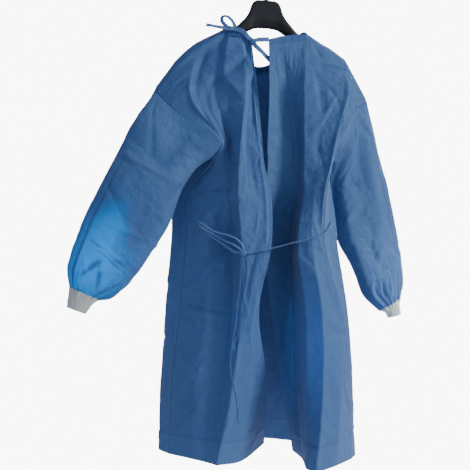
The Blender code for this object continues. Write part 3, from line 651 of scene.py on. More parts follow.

# Listed creases, across from the free edge and down from the shoulder in millimetres: start, end,
# the flank on each side, height and rounding
LEFT_CREASES = (
    (78, 90, 108, 250, 44, 9, -6, 0.5),
    (108, 190, 101, 470, 64, 9, -7, 0.5),
    (62, 170, 26, 330, 12, 22, 3.5, 0.5),
    (26, 270, 28, 660, 10, 16, 3.5, 0.5),
    (202, -30, 192, 176, 48, 8, 8, 0.8),
    (206, 124, 144, 214, 46, 8, 8.5, 0.8),
    (156, 208, 130, 172, 10, 12, 3, 1),
    (24, -26, 244, 192, 40, 26, -10, 0.8),
    (116, 24, 104, 176, 6, 84, 15, 2),
    (262, -20, 272, 170, 30, 24, -6, 3),
    (238, -20, 318, 270, 95, 24, -11, 4),
    (236, 150, 330, 380, 26, 30, -6, 4),
    (300, 96, 396, 372, 14, 10, 5, 0.8),
    (318, 210, 398, 360, 8, 8, -2.5, 1),
    (350, 6, 246, 52, 14, 24, -4, 5),
    (300, 60, 250, 140, 24, 18, 3.5, 5),
    (366, 70, 286, 128, 16, 22, -2.5, 3),
    (-10, 426, 190, 436, 7, 9, -1.6, 0.8),
    (20, 452, 168, 446, 9, 9, 1.4, 1),
    (110, 500, 172, 470, 9, 12, 1.8, 1.5),
    (100, 458, 404, 470, 8, 8, -2.8, 0.4),
    (120, 440, 420, 590, 60, 34, 6, 8),
    (170, 600, 380, 660, 30, 40, -4, 8),
    (236, 480, 300, 640, 30, 24, -3.5, 5),
    (180, 780, 420, 755, 7, 8, -3.4, 0.3),
    (172, 794, 424, 769, 7, 10, 2.6, 0.6),
    (210, 700, 250, 1010, 34, 44, 2.2, 8),
    (330, 640, 300, 940, 30, 40, -3.5, 8),
    (150, 820, 130, 1120, 22, 30, 3, 5),
    (250, 900, 380, 1090, 26, 40, -3, 8),
    (60, 560, 120, 760, 22, 22, -3, 4),
    (20, 700, 90, 860, 20, 26, 3, 4),
    (36, 880, 70, 1080, 16, 22, -2.6, 3),
    (20, 1088, 60, 1152, 7, 9, 2.8, 0.8),
    (96, 300, 60, 520, 16, 20, -2.4, 3),
    (150, 240, 110, 420, 18, 14, 2.2, 3),
)
RIGHT_CREASES = (
    (98, -60, 106, 190, 62, 46, 4.5, 24),
    (214, 6, 222, 56, 10, 14, -4, 1.5),
    (332, -40, 298, 320, 18, 6, 5, 0.6),
    (306, 190, 280, 640, 18, 6, 5, 0.6),
    (98, 84, 122, 108, 5, 5, 2.2, 0.6),
    (186, 96, 330, 26, 9, 11, -3.2, 1),
    (240, 74, 282, 96, 8, 8, 2, 1),
    (206, 70, 236, 270, 12, 18, -3, 3),
    (292, 150, 196, 310, 16, 14, 3.4, 2),
    (228, 130, 306, 236, 12, 12, -2.6, 1.5),
    (176, 258, 270, 216, 12, 10, 2.4, 1.5),
    (214, 300, 268, 400, 18, 16, -2.6, 3),
    (300, 60, 318, 240, 14, 20, 3, 2),
    (180, 380, 290, 360, 12, 14, 1.8, 2),
    (190, 470, 292, 452, 9, 12, -2, 1),
    (160, 586, 300, 556, 12, 16, 3, 1.5),
    (160, 600, 296, 620, 14, 12, -3, 1.5),
    (150, 604, 262, 700, 18, 16, 3.4, 3),
    (120, 540, 168, 610, 16, 20, -3, 3),
    (232, 520, 286, 620, 14, 16, 3, 2),
    (232, 826, 410, 818, 7, 9, -3.4, 0.3),
    (236, 846, 400, 834, 9, 12, 1.8, 1.5),
    (250, 660, 330, 840, 30, 24, -4, 5),
    (300, 700, 390, 900, 24, 24, 3, 5),
    (230, 860, 300, 1060, 30, 30, -3, 6),
    (180, 700, 190, 1000, 16, 18, 2.6, 4),
    (60, 250, 90, 520, 20, 26, 2.6, 6),
    (40, 120, 56, 330, 14, 16, -1.8, 4),
)


SEAM_FADE = 22.0
TOP_FADE = 26.0
HEM_PROUD = 0.5
HEM_GROOVE = 0.6
HEM_EDGE = 4.0
WELT_APART = 6.0
WELT_SPREAD = 3.0
GROOVE_SPREAD = 2.2
STITCH_SPREAD = 2.5
# How much lighter cloth is on a ridge, where it whitens, and darker in a trough, which is painted
# shade, for each millimetre of relief, and at most; where it is doubled; on a stitched line; and on
# a seam
RIDGE_WHITENING_AND_TROUGH_SHADE = 0.07
TONE_LIMITS = (-0.45, 0.16)
DOUBLED_TONE = 0.16
STITCH_TONE = 0.5
SEAM_TONE = 0.75


def bell(apart, spread_out):
    """1 at a distance of 0, falling off as exp of minus (distance / spread) squared."""
    return np.exp(-(apart / spread_out) ** 2)


def seam_tone(apart):
    """Darker along a seam, where four layers meet, with a paler welt beside it; apart is the
    distance from the seam in millimetres."""
    welt = DOUBLED_TONE * bell(apart - WELT_APART, WELT_SPREAD)
    return welt - SEAM_TONE * bell(apart, GROOVE_SPREAD)


def draped(grid, across, width, rows, side_seams=1):
    """A panel's grid with its creases and turned-up hem standing out along its normals, its new
    normals, and its tone: cloth is whiter on a ridge and where the hem doubles it, darker in a
    stitched line, and painted darker in a trough as shade. Creases fade to 0 at the top and the
    side seams, where neighbours meet; the hem stands proud below a groove."""
    normal = outward(grid, BODY_MIDDLE)
    fade = eased((1 - across[:, None]) * width / SEAM_FADE)
    fade = fade * eased(down[None, :] * CUT_LENGTH / TOP_FADE - 0.4)
    if side_seams == 2:
        fade = fade * eased(across[:, None] * width / SEAM_FADE)
    relief = creases(across[:, None] * width, down[None, :] * CUT_LENGTH, rows) * fade
    past = (down - (1 - HEM_SHARE)) * CUT_LENGTH
    hem = HEM_PROUD * eased(past / HEM_EDGE) - HEM_GROOVE * bell(past, GROOVE_SPREAD)
    hem_tone = DOUBLED_TONE * eased(past / WELT_SPREAD) - STITCH_TONE * bell(past, STITCH_SPREAD)
    grid = grid + normal * (relief + hem[None, :])[..., None]
    # Painted shade: troughs are coloured darker by their depth; ridges are paler where the cloth
    # whitens.
    tone = np.clip(RIDGE_WHITENING_AND_TROUGH_SHADE * relief, *TONE_LIMITS) + hem_tone[None, :]
    return grid, outward(grid, BODY_MIDDLE), tone


left_rows = [*LEFT_CREASES, *crumple(11, 190, BACK_CUT, CUT_LENGTH, tall=2.4)]
right_rows = [*RIGHT_CREASES, *crumple(12, 190, BACK_CUT, CUT_LENGTH, tall=2.4)]
left_grid, left_normal, left_tone = draped(left_back, left_across, BACK_CUT, left_rows)
right_grid, right_normal, right_tone = draped(right_back, right_across, BACK_CUT, right_rows)
for node, across, grid, normal, tone in (
        ("back_panel_left", left_across, left_grid, left_normal, left_tone),
        ("back_panel_right", right_across, right_grid, right_normal, right_tone)):
    tone = tone + seam_tone((1 - across) * BACK_CUT)[:, None]
    tone[NECK_STEPS:] += seam_tone(down * CUT_LENGTH)[None, :]
    cloth_piece(node, "cloth", grid, normal, blue_cloth, "cloth", hanger, tone=tone)


# The front panel
# One piece of the same nonwoven, the wearer's front, which faces away from the camera. It runs
# forward over the hanger, and its neckline drops between the shoulder seams.
FRONT = {
    "left turn": ((-212, 40, -340), (-190, 52), (-196, 16), (-236, 14), (-243, 4), (-254, 12),
                  (-262, 20), (-262, 30, -1286)),
    "left front": ((-115, 56, -340), (-105, 72), (-112, 70), (-150, 82), (-150, 84), (-160, 96),
                   (-165, 112), (-165, 130, -1294)),
    "centre": ((4, 80, -340), (0, 94), (0, 97), (0, 105), (-5, 116), (10, 128), (20, 146),
               (40, 166, -1301)),
    "right front": ((115, 58, -340), (112, 66), (112, 66), (120, 66), (128, 74), (140, 92),
                    (150, 108), (160, 122, -1306)),
    "right turn": ((205, 44, -340), (180, 46), (184, 32), (207, 20), (224, 22), (252, 14),
                   (270, 10), (280, 4, -1310)),
}
FRONT_FOLD = (0.0, 0.3, 0.5, 0.35, 0.5, 0.3, 0.0)
FRONT_NECK_STEPS = 48
FRONT_CUT = 620.0
SHOULDER_SEAM_Y = -26.0
RIDGE_RISE = 19.0
NECK_RIDGE_RISE = 8.0
RIDGE_REACH = 3.0
CROWN_FRONT = 29.0
CROWN_OVER = (0.23, 0.48, 0.74, 1.0)
CROWN_DOWN = (0.2, 0.3, 0.4, 0.52)
NECK_LIFT = 15.0
NECK_LIFT_END = math.radians(62)
NECK_CROWN_END = math.radians(20)
NECK_CROWN_FADE = math.radians(30)
FRONT_NECK_DROP = 76.0
FRONT_NECK_REACH = 87.0
FRONT_NECK_HOLLOW = 2.6


def front_neckline(start, end):
    """The front neckline between the shoulder seams: a U in plan, which runs forward over
    the hanger and then drops; also the angle of each point round the U."""
    turn = np.linspace(0.0, math.pi, FRONT_NECK_STEPS + 1)[1:-1]
    t = ((1 - np.cos(turn)) / 2)[:, None]
    edge = np.minimum(turn, math.pi - turn)
    lift = NECK_LIFT * np.sin(np.clip(edge / NECK_LIFT_END, 0.0, 1.0) * math.pi)
    points = start + (end - start) * t
    points[:, 1] += FRONT_NECK_REACH * np.sin(turn)
    points[:, 2] += lift - FRONT_NECK_DROP * np.sin(turn) ** FRONT_NECK_HOLLOW
    return points, turn


def front_grid(left_back, right_back, left_edge, right_edge):
    """Outer points of the front: its top row is both shoulder seams and the neckline, the crown
    over the hanger is an arch from there, and a smooth curve runs down the levels below."""
    sides = [np.array([*LEFT_ARMHOLE_FRONT[2:], *lines_to_points(LEFT_BACK)[-1, 3:]], float),
             np.array([*RIGHT_ARMHOLE_FRONT[2:], *lines_to_points(RIGHT_BACK)[-1, 3:]], float)]
    points = np.concatenate([sides[0][None], lines_to_points(FRONT), sides[1][None]])
    knots = along(points)
    across = spread((0.0, knots[2], knots[4], 1.0),
                    (SHOULDER_STEPS, FRONT_NECK_STEPS, SHOULDER_STEPS))
    levels = [smooth(across, knots, points[:, k], FRONT_FOLD) for k in range(points.shape[1])]
    left_seam = left_back[NECK_STEPS:, 0][::-1]
    right_seam = right_back[NECK_STEPS:, 0]
    neck, turn = front_neckline(left_seam[-1], right_seam[0])
    top = np.concatenate([left_seam, neck, right_seam])
    n = SHOULDER_STEPS
    over = np.ones(len(top))
    edge = np.minimum(turn, math.pi - turn)
    over[n + 1:-n - 1] = 1 - eased((edge - NECK_CROWN_END) / NECK_CROWN_FADE)
    rise = np.full(len(top), NECK_RIDGE_RISE)
    higher = np.minimum(np.linspace(0.0, RIDGE_REACH, n + 1), 1.0)
    rise[-n - 1:] += (RIDGE_RISE - NECK_RIDGE_RISE) * higher
    rise[:n + 1] = rise[-n - 1:][::-1]
    over, rise = over[:, None], rise[:, None]
    below = levels[0] - top
    crown = []
    for share_over, share_down in zip(CROWN_OVER, CROWN_DOWN):
        depth = top[:, 1:2]
        reach = (CROWN_FRONT - depth) * share_over
        arch = (depth ** 2 - (depth + reach) ** 2) / SHOULDER_SEAM_Y ** 2 * rise
        forward = np.concatenate([0 * reach, reach, arch], axis=1)
        crown.append(top + over * forward + (1 - over) * share_down * below)
    rows = np.array([top] + crown + levels)
    grid = smooth(down_rows(), np.concatenate([[0.0], CROWN, DOWN[1:]]), rows).transpose(1, 0, 2)
    grid[0] = left_edge
    grid[-1] = right_edge
    return grid, across


front, front_across = front_grid(left_back, right_back, left_edge, right_edge)
FRONT_CREASES = (
    (310, 100, 316, 560, 12, 16, -3, 1.5),
    (316, 600, 306, 1080, 14, 12, 2.6, 1.5),
    (150, 180, 168, 700, 14, 18, 3, 2),
    (470, 200, 452, 760, 16, 12, -3, 2),
    (30, 452, 300, 462, 9, 10, -2, 0.8),
    (320, 458, 590, 446, 10, 9, -2.2, 0.8),
    (40, 786, 320, 776, 9, 9, -2, 0.8),
    (330, 780, 596, 790, 10, 9, 1.8, 1),
    (60, 330, 230, 150, 40, 30, 7, 4),
    (560, 330, 400, 160, 30, 40, 7, 4),
    (96, 300, 262, 640, 30, 20, -7, 2),
    (530, 310, 372, 600, 20, 34, -7, 2),
    (262, 150, 226, 420, 34, 16, 7, 1.5),
    (372, 170, 404, 470, 14, 34, 7, 1.5),
    (236, 520, 218, 1150, 60, 18, 9, 1.5),
    (400, 480, 424, 1150, 18, 64, 9, 1.5),
    (318, 700, 330, 1150, 44, 30, -8, 6),
    (120, 560, 100, 1140, 50, 26, 8, 4),
    (512, 600, 530, 1140, 26, 48, 8, 4),
    (80, 400, 200, 560, 34, 26, -4.5, 5),
    (548, 410, 430, 600, 26, 36, -4.5, 5),
    (200, 620, 170, 1040, 40, 30, 5, 8),
    (420, 640, 440, 1060, 30, 42, 5, 8),
    (90, 700, 70, 1000, 26, 34, -4, 8),
    (540, 720, 560, 1040, 34, 28, -4, 8),
    (250, 860, 240, 1110, 24, 20, 3.5, 5),
    (370, 840, 384, 1090, 20, 26, -3.5, 5),
)
front_rows = [*FRONT_CREASES, *crumple(13, 260, FRONT_CUT, CUT_LENGTH, tall=2.8)]
front_out, front_normal, front_tone = draped(front, front_across, FRONT_CUT, front_rows,
                                             side_seams=2)
front_tone += seam_tone(np.minimum(front_across, 1 - front_across) * FRONT_CUT)[:, None]
cloth_piece("front_panel", "cloth", front_out, front_normal, blue_cloth, "cloth", hanger,
            tone=front_tone)


# The sleeves
# Wide set-in tubes of the same nonwoven, which hang flattened from the armholes and are
# gathered into the cuffs.
SLEEVE_STEPS = 180
SLEEVE_ROUND = 380.0
SLEEVE_LENGTH = 560.0
CUFF_FADE = 12.0
# The middle of each ring, half its width, half its depth and how many degrees it leans
LEFT_SLEEVE = (
    (-268, -60, -479, 100, 32, 40),
    (-311, -70, -557, 94, 33, 28),
    (-351, -78, -650, 99, 32, 27),
    (-385, -86, -712, 95, 30, 29),
    (-412, -95, -765, 88, 28, 32),
    (-438, -101, -812, 77, 26, 33),
    (-458, -104, -843, 60, 24, 33),
    (-467, -105, -861, 38, 21, 24),
)
RIGHT_SLEEVE = (
    (275, 46, -450, 75, 34, 140),
    (290, 88, -514, 92, 32, 147),
    (313, 100, -593, 97, 30, 151),
    (335, 96, -677, 95, 28, 154),
    (361, 90, -753, 80, 27, 159),
    (379, 85, -815, 72, 26, 164),
    (391, 80, -864, 61, 24, 162),
    (407, 74, -900, 37, 19, 148),
)
# Listed creases, round from the outer edge by the back and down from the armhole
LEFT_SLEEVE_CREASES = (
    (20, -8, 94, 180, 11, 9, -2.2, 1),
    (4, 190, 132, 187, 11, 34, 5, 1),
    (126, 30, 92, 214, 36, 22, -7, 4),
    (170, 60, 122, 210, 30, 26, 5, 4),
    (186, 150, 120, 260, 20, 24, -4.5, 3),
    (150, 10, 108, 120, 20, 20, 2.5, 3),
    (98, 190, 128, 440, 34, 36, -4.5, 6),
    (60, 230, 66, 430, 26, 30, 4, 6),
    (168, 260, 140, 440, 24, 24, 3, 5),
    (36, 432, 150, 450, 6, 6, -4, 0.3),
    (60, 444, 144, 464, 5, 5, -3.4, 0.3),
    (56, 440, 134, 440, 9, 12, 2.4, 1),
    (94, 452, 62, 540, 9, 8, -5, 1),
    (88, 470, 118, 548, 8, 8, -4.5, 1),
    (136, 456, 84, 500, 9, 9, 3.6, 1),
    (52, 476, 80, 520, 8, 10, 3, 1),
    (150, 480, 122, 552, 10, 10, -3.5, 1.5),
    (36, 500, 46, 556, 8, 8, -3, 1),
)
RIGHT_SLEEVE_CREASES = (
    (188, 2, 194, 130, 48, 48, 10, 12),
    (128, 190, 146, 556, 78, 26, 10, 5),
    (112, 40, 142, 350, 26, 30, 6, 4),
    (142, 90, 166, 320, 18, 22, -6, 3),
    (88, 20, 82, 260, 24, 22, -6, 4),
    (60, 120, 74, 420, 24, 26, 3.5, 6),
    (120, 8, 186, 44, 9, 11, 3.4, 1),
    (130, 40, 190, 90, 12, 12, -3.4, 1.5),
    (112, 120, 142, 190, 12, 12, -3, 2),
    (104, 250, 150, 300, 14, 12, 3, 2),
    (112, 330, 90, 500, 26, 26, -4, 5),
    (70, 380, 116, 470, 16, 16, 3, 3),
    (120, 460, 150, 548, 12, 12, 3.4, 2),
    (98, 480, 112, 552, 9, 9, -4.4, 1),
    (76, 490, 92, 556, 9, 9, 3.6, 1),
    (130, 490, 122, 556, 8, 8, -3.6, 1),
)
# Pleats round the sleeve and their height in millimetres
PLEATS = ((7, 1.5), (11, 1.1), (17, 0.9), (26, 0.75))
GATHER_START = 0.8
GATHER_UNEVEN = 0.06
GATHER_POWER = 1.3
GATHER_BEND = 0.6
SLEEVE_SEAM = 40.0
SLEEVE_SEAM_SHRINK = 0.7
SEAM_FROM = 0.25
SEAM_RISE = 0.2
SHEER_MIDDLE = 80.0
SHEER_HALF = 26.0
SHEER_WIDENS = 70.0
SHEER_FROM = 0.36
SHEER_RISE = 0.3
SHEER_PER_TONE = 3.5
SHEER_LIMITS = (0.1, 1.1)
SHEER_MOST = {"left": 1.0, "right": 0.3}


def ring_points(row, count):
    """Points round one flattened ring, starting at its outer edge and going by the back: the
    half width times cos a across it and the half depth times sin a through it."""
    x, y, z, half_width, half_depth, lean = row
    angle = 2 * math.pi * np.arange(count) / count
    lean = math.radians(lean)
    inward = np.array([math.cos(lean), 0.0, -math.sin(lean)])
    width = np.cos(angle)[:, None] * half_width * -inward
    depth = np.sin(angle)[:, None] * half_depth * np.array([0.0, -1.0, 0.0])
    return np.array([x, y, z], float) + width + depth


def gathers(count, t, seed):
    """Pleats that run up from the cuff: a sum of waves round the sleeve of uneven height, each
    dying away at its own distance from the cuff."""
    draw = np.random.default_rng(seed)
    turn = 2 * math.pi * np.arange(count)[:, None] / count
    height = np.zeros((count, len(t)))
    for waves, tall in PLEATS:
        start = GATHER_START + draw.uniform(-GATHER_UNEVEN, GATHER_UNEVEN)
        near = np.clip((t[None, :] - start) / (1.0 - start), 0.0, 1.0) ** GATHER_POWER
        bend = GATHER_BEND * np.sin(turn + draw.uniform(0, 6.28))
        height += tall * near * np.cos(waves * turn + bend + draw.uniform(0, 6.28))
    return height


def apart_round(x, middle):
    """Millimetres round the sleeve from a place on it, the shorter way."""
    return np.abs((x - middle + SLEEVE_ROUND / 2) % SLEEVE_ROUND - SLEEVE_ROUND / 2)


def sleeve_grid(loop, rows, seed, crease_rows):
    """Outer points [round, along, xyz] of a sleeve, from the armhole to the cuff's seam: a smooth
    curve through the rings, with its creases and gathers along its normals; also its tone."""
    count = len(loop)
    rings = np.array([loop] + [ring_points(row, count) for row in rows])
    t = np.linspace(0.0, 1.0, SLEEVE_STEPS + 1)
    grid = smooth(t, along(rings.mean(axis=1)), rings).transpose(1, 0, 2)
    normal = outward(grid, grid.mean(axis=0), closed=True)
    x = np.arange(count)[:, None] * SLEEVE_ROUND / count
    wrapped = [(a + shift, b, c + shift, *rest) for a, b, c, *rest in crease_rows
               for shift in (-SLEEVE_ROUND, 0.0, SLEEVE_ROUND)]
    relief = creases(x, t[None, :] * SLEEVE_LENGTH, wrapped)
    relief = relief * eased(t * SLEEVE_LENGTH / SEAM_FADE)[None, :]
    relief = relief * eased((1 - t) * SLEEVE_LENGTH / CUFF_FADE)[None, :]
    grid = grid + normal * (relief + gathers(count, t, seed))[..., None]
    tone = seam_tone(apart_round(x, SLEEVE_SEAM) * SLEEVE_SEAM_SHRINK)
    tone = tone * eased((t - SEAM_FROM) / SEAM_RISE)[None, :]
    tone = tone + seam_tone(t * SLEEVE_LENGTH)[None, :]
    # Painted shade: sleeve troughs are coloured darker by their depth; ridges are paler where the
    # cloth whitens.
    tone = tone + np.clip(RIDGE_WHITENING_AND_TROUGH_SHADE * relief, *TONE_LIMITS)
    return grid, outward(grid, grid.mean(axis=0), closed=True), tone


def lit_through(tone, side_name):
    """How sheer a sleeve is: most in its lower half, on the stretch outside the middle of its back
    where it hangs as single layers, less in creases and its seam, which hold more layers, and less
    on the right, where it lies doubled."""
    t = np.linspace(0.0, 1.0, tone.shape[1])[None, :]
    x = np.arange(len(tone))[:, None] * SLEEVE_ROUND / len(tone)
    middle = bell(apart_round(x, SHEER_MIDDLE), SHEER_HALF + SHEER_WIDENS * t ** 3)
    near = np.where(x > SLEEVE_ROUND / 2, 1.0, middle)
    layers = np.clip(1 + SHEER_PER_TONE * tone, *SHEER_LIMITS)
    lower = SHEER_MOST[side_name] * eased((t - SHEER_FROM) / SHEER_RISE)
    return (lower * near * layers).reshape(-1)


sleeves = {}
for side_name, back_side, edge, rows, placed, seed in (
        ("left", left_back, left_edge, LEFT_SLEEVE, LEFT_SLEEVE_CREASES, 21),
        ("right", right_back, right_edge, RIGHT_SLEEVE, RIGHT_SLEEVE_CREASES, 22)):
    loop = np.concatenate([back_side[-1, :ARMHOLE_ROWS + 1], edge[1:ARMHOLE_ROWS][::-1]])
    placed = [*placed, *crumple(seed, 110, SLEEVE_ROUND, SLEEVE_LENGTH, tall=2.6)]
    sleeves[side_name], normal, tone = sleeve_grid(loop, rows, seed + 10, placed)
    piece = cloth_piece("sleeve_" + side_name, "cloth", sleeves[side_name], normal, blue_cloth,
                        "cloth", "back_panel_" + side_name, closed=True, tone=tone)
    paint(piece, "sheer", np.tile(lit_through(tone, side_name), 2))


# The cuffs
# Tubes of undyed ribbed knit, overlocked to the gathered sleeves. Their ribs run along the arm.
LEFT_CUFF = ((-475, -105, -876, 32, 18, 18), (-486, -105, -903, 24, 15, 20))
RIGHT_CUFF = ((413, 72, -912, 26, 16, 150), (420, 70, -935, 20, 14, 164))
CUFF_CLOTH = 1.3
CUFF_SIDES = 336
CUFF_STEPS = 26
CUFF_RIBS = 48
RIB_HEIGHT = 0.55
RIB_POWER = 0.7
RIB_FADE = 0.15
# Height, place along the cuff and spread of its cast-off edge and its overlock
CUFF_EDGES = ((0.5, 1, 0.05), (0.7, 0.02, 0.04))


def cuff_grid(ring, rows):
    """Outer points of a cuff: rings from the sleeve's last one to the wrist opening, with ribs
    as a power of a cosine round them, and a raised overlock and cast-off edge."""
    turn = np.linspace(0, len(ring), CUFF_SIDES, endpoint=False)
    first = np.floor(turn).astype(int)
    part = (turn - first)[:, None]
    fine = ring[first] * (1 - part) + ring[(first + 1) % len(ring)] * part
    rings = np.array([fine] + [ring_points(row, CUFF_SIDES) for row in rows])
    t = np.linspace(0.0, 1.0, CUFF_STEPS + 1)
    grid = smooth(t, along(rings.mean(axis=1)), rings).transpose(1, 0, 2)
    normal = outward(grid, grid.mean(axis=0), closed=True)
    rib = np.abs(np.cos(math.pi * CUFF_RIBS * np.arange(CUFF_SIDES) / CUFF_SIDES)) ** RIB_POWER
    edges = sum(tall * bell(t - at, wide) for tall, at, wide in CUFF_EDGES)
    relief = RIB_HEIGHT * rib[:, None] * eased(t / RIB_FADE + 0.2)[None, :] + edges[None, :]
    grid = grid + normal * relief[..., None]
    return grid, outward(grid, grid.mean(axis=0), closed=True)


rib_knit, shader, value = finish("rib_knit")
cloth_place = value.node("ShaderNodeUVMap", {"uv_map": "UVMap"})
loops_across = value.node("ShaderNodeVectorMath", {"operation": "MULTIPLY"},
                          {0: cloth_place, 1: (900.0, 1400.0, 0.0)})
stitch = value.noise(loops_across, 1.0, 2.0)
soil = value.noise(cloth_place, 60.0, 4.0)
shade = stitch * 0.5 + soil * 0.5
link(shade.blend((0.38, 0.395, 0.38, 1), (0.62, 0.64, 0.62, 1)), shader.inputs["Base Color"])
bump = value.node("ShaderNodeBump", {}, {"Strength": 0.5, "Distance": 0.0006, "Height": stitch})
link(bump, shader.inputs["Normal"])
shader.inputs["Roughness"].default_value = 0.92
shader.inputs["Sheen Weight"].default_value = 0.25
for side_name, rows in (("left", LEFT_CUFF), ("right", RIGHT_CUFF)):
    grid, normal = cuff_grid(sleeves[side_name][:, -1], rows)
    cloth_piece("cuff_" + side_name, "knit", grid, normal, rib_knit, "cuff",
                "sleeve_" + side_name, thick=CUFF_CLOTH, closed=True)


# The neck bindings
# Folded strips of the same nonwoven, 20 mm wide, sewn round the neck edges of the backs and the
# front, and coloured darker than the panels as painted shade. The left one is bunched where its tie
# pulls it.
BINDING_CLOTH = 0.9
BINDING_LIFT = 0.15
RIM_BUNCH = 3.2
RIM_POWER = 0.7
RIM_WAVES = 5.2
RIM_SLANT = 1.9
RIM_UNEVEN = 0.35
BINDING_ROWS = ROWS_PER_STEP + 1
# Painted shade: the binding's copy of the nonwoven has darker colours than the panels'.
shaded_binding_cloth = nonwoven("binding_nonwoven", (0.030, 0.085, 0.25), (0.055, 0.135, 0.35), 0.10)
n = SHOULDER_STEPS
for side_name, columns, grid, normal in (
        ("left", slice(NECK_STEPS + 1), left_grid, left_normal),
        ("right", slice(NECK_STEPS + 1), right_grid, right_normal),
        ("front", slice(n, -n), front_out, front_normal)):
    normal = normal[columns, :BINDING_ROWS]
    outer = grid[columns, :BINDING_ROWS] + normal * (BINDING_CLOTH + BINDING_LIFT)
    if side_name == "left":
        t = np.linspace(0.0, 1.0, len(outer))[:, None]
        depth = np.linspace(0.0, 1.0, BINDING_ROWS)[None, :]
        waves = RIM_WAVES * t - RIM_SLANT * depth + RIM_UNEVEN * np.sin(9 * t)
        bunch = np.abs(np.sin(math.pi * waves)) ** RIM_POWER
        outer = outer + normal * (RIM_BUNCH * bunch * np.sin(math.pi * t) ** 0.5)[..., None]
    cloth_piece("neck_binding_" + side_name, "cloth", outer, normal, shaded_binding_cloth, "binding",
                "front_panel", thick=BINDING_CLOTH, folds=2)


# The ties
# Folded strips of the same nonwoven, sewn in at the neck and the side seams and knotted by hand.
# They are limp and light, and they keep the twists that they were tied with.
TIE_THICK = 0.9
TIE_STEP = 2.0
TIE_WOBBLE = ((0.05, 9.0), (0.03, 3.7))
# Each knot's middle and radius
KNOTS = {
    "neck_knot": (-44, -40.5, -197.5, 6.0),
    "neck_bow_knot": (-105, -38.8, -168.5, 5.6),
    "waist_knot": (-80, -140.5, -756, 7.2),
}
# Each tie's width, the points on its route and how many degrees it is turned there
TIES = {
    "neck_tie_right": (12.0, (
        (2.3, -34.2, -189.5), (-12, -37.5, -191.5), (-26, -39, -193.5), (-44, -41.5, -196.5),
        (-56, -41.5, -189), (-66, -42, -180), (-78, -41.5, -173), (-90, -40, -170),
        (-103, -39.5, -168.5)),
        (0, 0, 6, 20, 10, -10, -15, 0, 10)),
    "neck_tie_tail": (12.0, (
        (-44, -41.5, -199), (-37, -38, -208), (-27, -34, -215), (-14, -30, -224), (-1, -25, -234),
        (11, -20, -242)),
        (50, 20, 6, 0, 0, 0)),
    "neck_bow_loop": (9.5, (
        (-90, -38.8, -167), (-95, -38.5, -156), (-103, -38, -145), (-115, -38, -138),
        (-125, -38, -140), (-128, -38.5, -149), (-121, -38.5, -159), (-112, -38.8, -166),
        (-105, -39, -170)),
        (0, 10, 20, 30, 40, 30, 15, 10, 0)),
    "neck_bow_tail": (9.0, (
        (-107, -40, -170.5), (-118, -41, -170.5), (-128, -42, -169.5), (-142, -42, -168),
        (-158, -42.5, -166.5), (-170, -42.5, -166)),
        (10, 5, 5, 10, 15, 10)),
    "waist_tie_left": (6.4, (
        (-196.4, -49.9, -684.2), (-188, -64, -691), (-172, -87, -703), (-150, -106, -719),
        (-118, -127, -742), (-100, -137.5, -754), (-81, -142, -756)),
        (0, 10, 20, 35, 25, 10, 30)),
    "waist_bow_loop": (5.6, (
        (-80, -142, -752), (-79, -140, -743), (-84, -139, -733), (-96, -135, -721),
        (-116, -127, -712), (-146, -112, -704), (-170, -98, -690), (-183, -87, -681),
        (-189, -80, -681.5), (-184, -82, -687), (-152, -105, -709.5), (-122, -124.5, -727),
        (-102, -135, -736.5), (-89, -140, -745), (-83, -142, -752)),
        (30, 20, 20, 30, 35, 30, 20, 40, 80, 110, 150, 160, 160, 150, 140)),
    "waist_tie_right": (6.4, (
        (186.2, -41.4, -671.1), (170, -84, -681), (152, -117, -692), (134, -133, -702),
        (104, -144, -713), (75, -144, -721), (40, -143, -730), (0, -142, -741), (-40, -140, -749),
        (-60, -140.5, -754), (-78, -142, -756)),
        (20, 30, 50, 62, 70, 72, 74, 74, 66, 50, 30)),
    "waist_tail_short": (6.4, (
        (-79, -142, -758), (-74, -141.5, -768), (-71, -142, -790), (-72, -140.5, -822),
        (-76, -139, -852), (-82, -138, -890), (-83, -137, -930), (-86, -136, -955),
        (-98, -135, -982), (-97, -134, -998)),
        (20, 30, 45, 50, 60, 60, 50, 40, 20, 10)),
    "waist_tail_long": (6.4, (
        (-81, -142, -758), (-84.5, -142.5, -768), (-86, -144, -790), (-87, -144.5, -830),
        (-92, -145, -880), (-96, -144.5, -930), (-104, -144, -985), (-106, -142, -1050),
        (-94, -138, -1100), (-84, -134, -1150), (-80, -130, -1182), (-72, -128, -1186)),
        (60, 70, 75, 70, 60, 62, 70, 75, 70, 65, 60, 30)),
}
TIE_SECTION = ((-0.5, -0.2), (-0.5, 0.2), (-0.47, 0.5), (-0.25, 0.5), (0.0, 0.42), (0.25, 0.5),
               (0.47, 0.5), (0.5, 0.2), (0.5, -0.2), (0.47, -0.5), (0.25, -0.5), (0.0, -0.42),
               (-0.25, -0.5), (-0.47, -0.5))


def ribbon(stops, turns, width, thick):
    """A folded strip on a smooth route: at each point its section is turned about the route by
    the smooth angle between the given turns, 0 facing -Y, and two small sines vary its width."""
    stops = np.array(stops, float)
    knots = along(stops)
    run = np.linalg.norm(np.diff(stops, axis=0), axis=1).sum()
    count = int(run / TIE_STEP)
    t = np.linspace(0.0, 1.0, count + 1)
    path = smooth(t, knots, stops)
    turn = np.radians(smooth(t, knots, np.array(turns, float)))[:, None]
    _, face, rise = frames_along(path)
    out = face * np.cos(turn) + rise * np.sin(turn)
    wide = rise * np.cos(turn) - face * np.sin(turn)
    wobble = np.ones(count + 1)
    for share, pitch in TIE_WOBBLE:
        wobble += share * np.sin(t * run / pitch)
    section = np.array(TIE_SECTION)
    points = (path[:, None] + wide[:, None] * (section[None, :, :1] * width * wobble[:, None, None])
              + out[:, None] * section[None, :, 1:] * thick)
    across, ahead = section[None, :, 0] * width * MM, t[:, None] * run * MM
    return path, points, np.stack(np.broadcast_arrays(across, ahead), axis=-1)


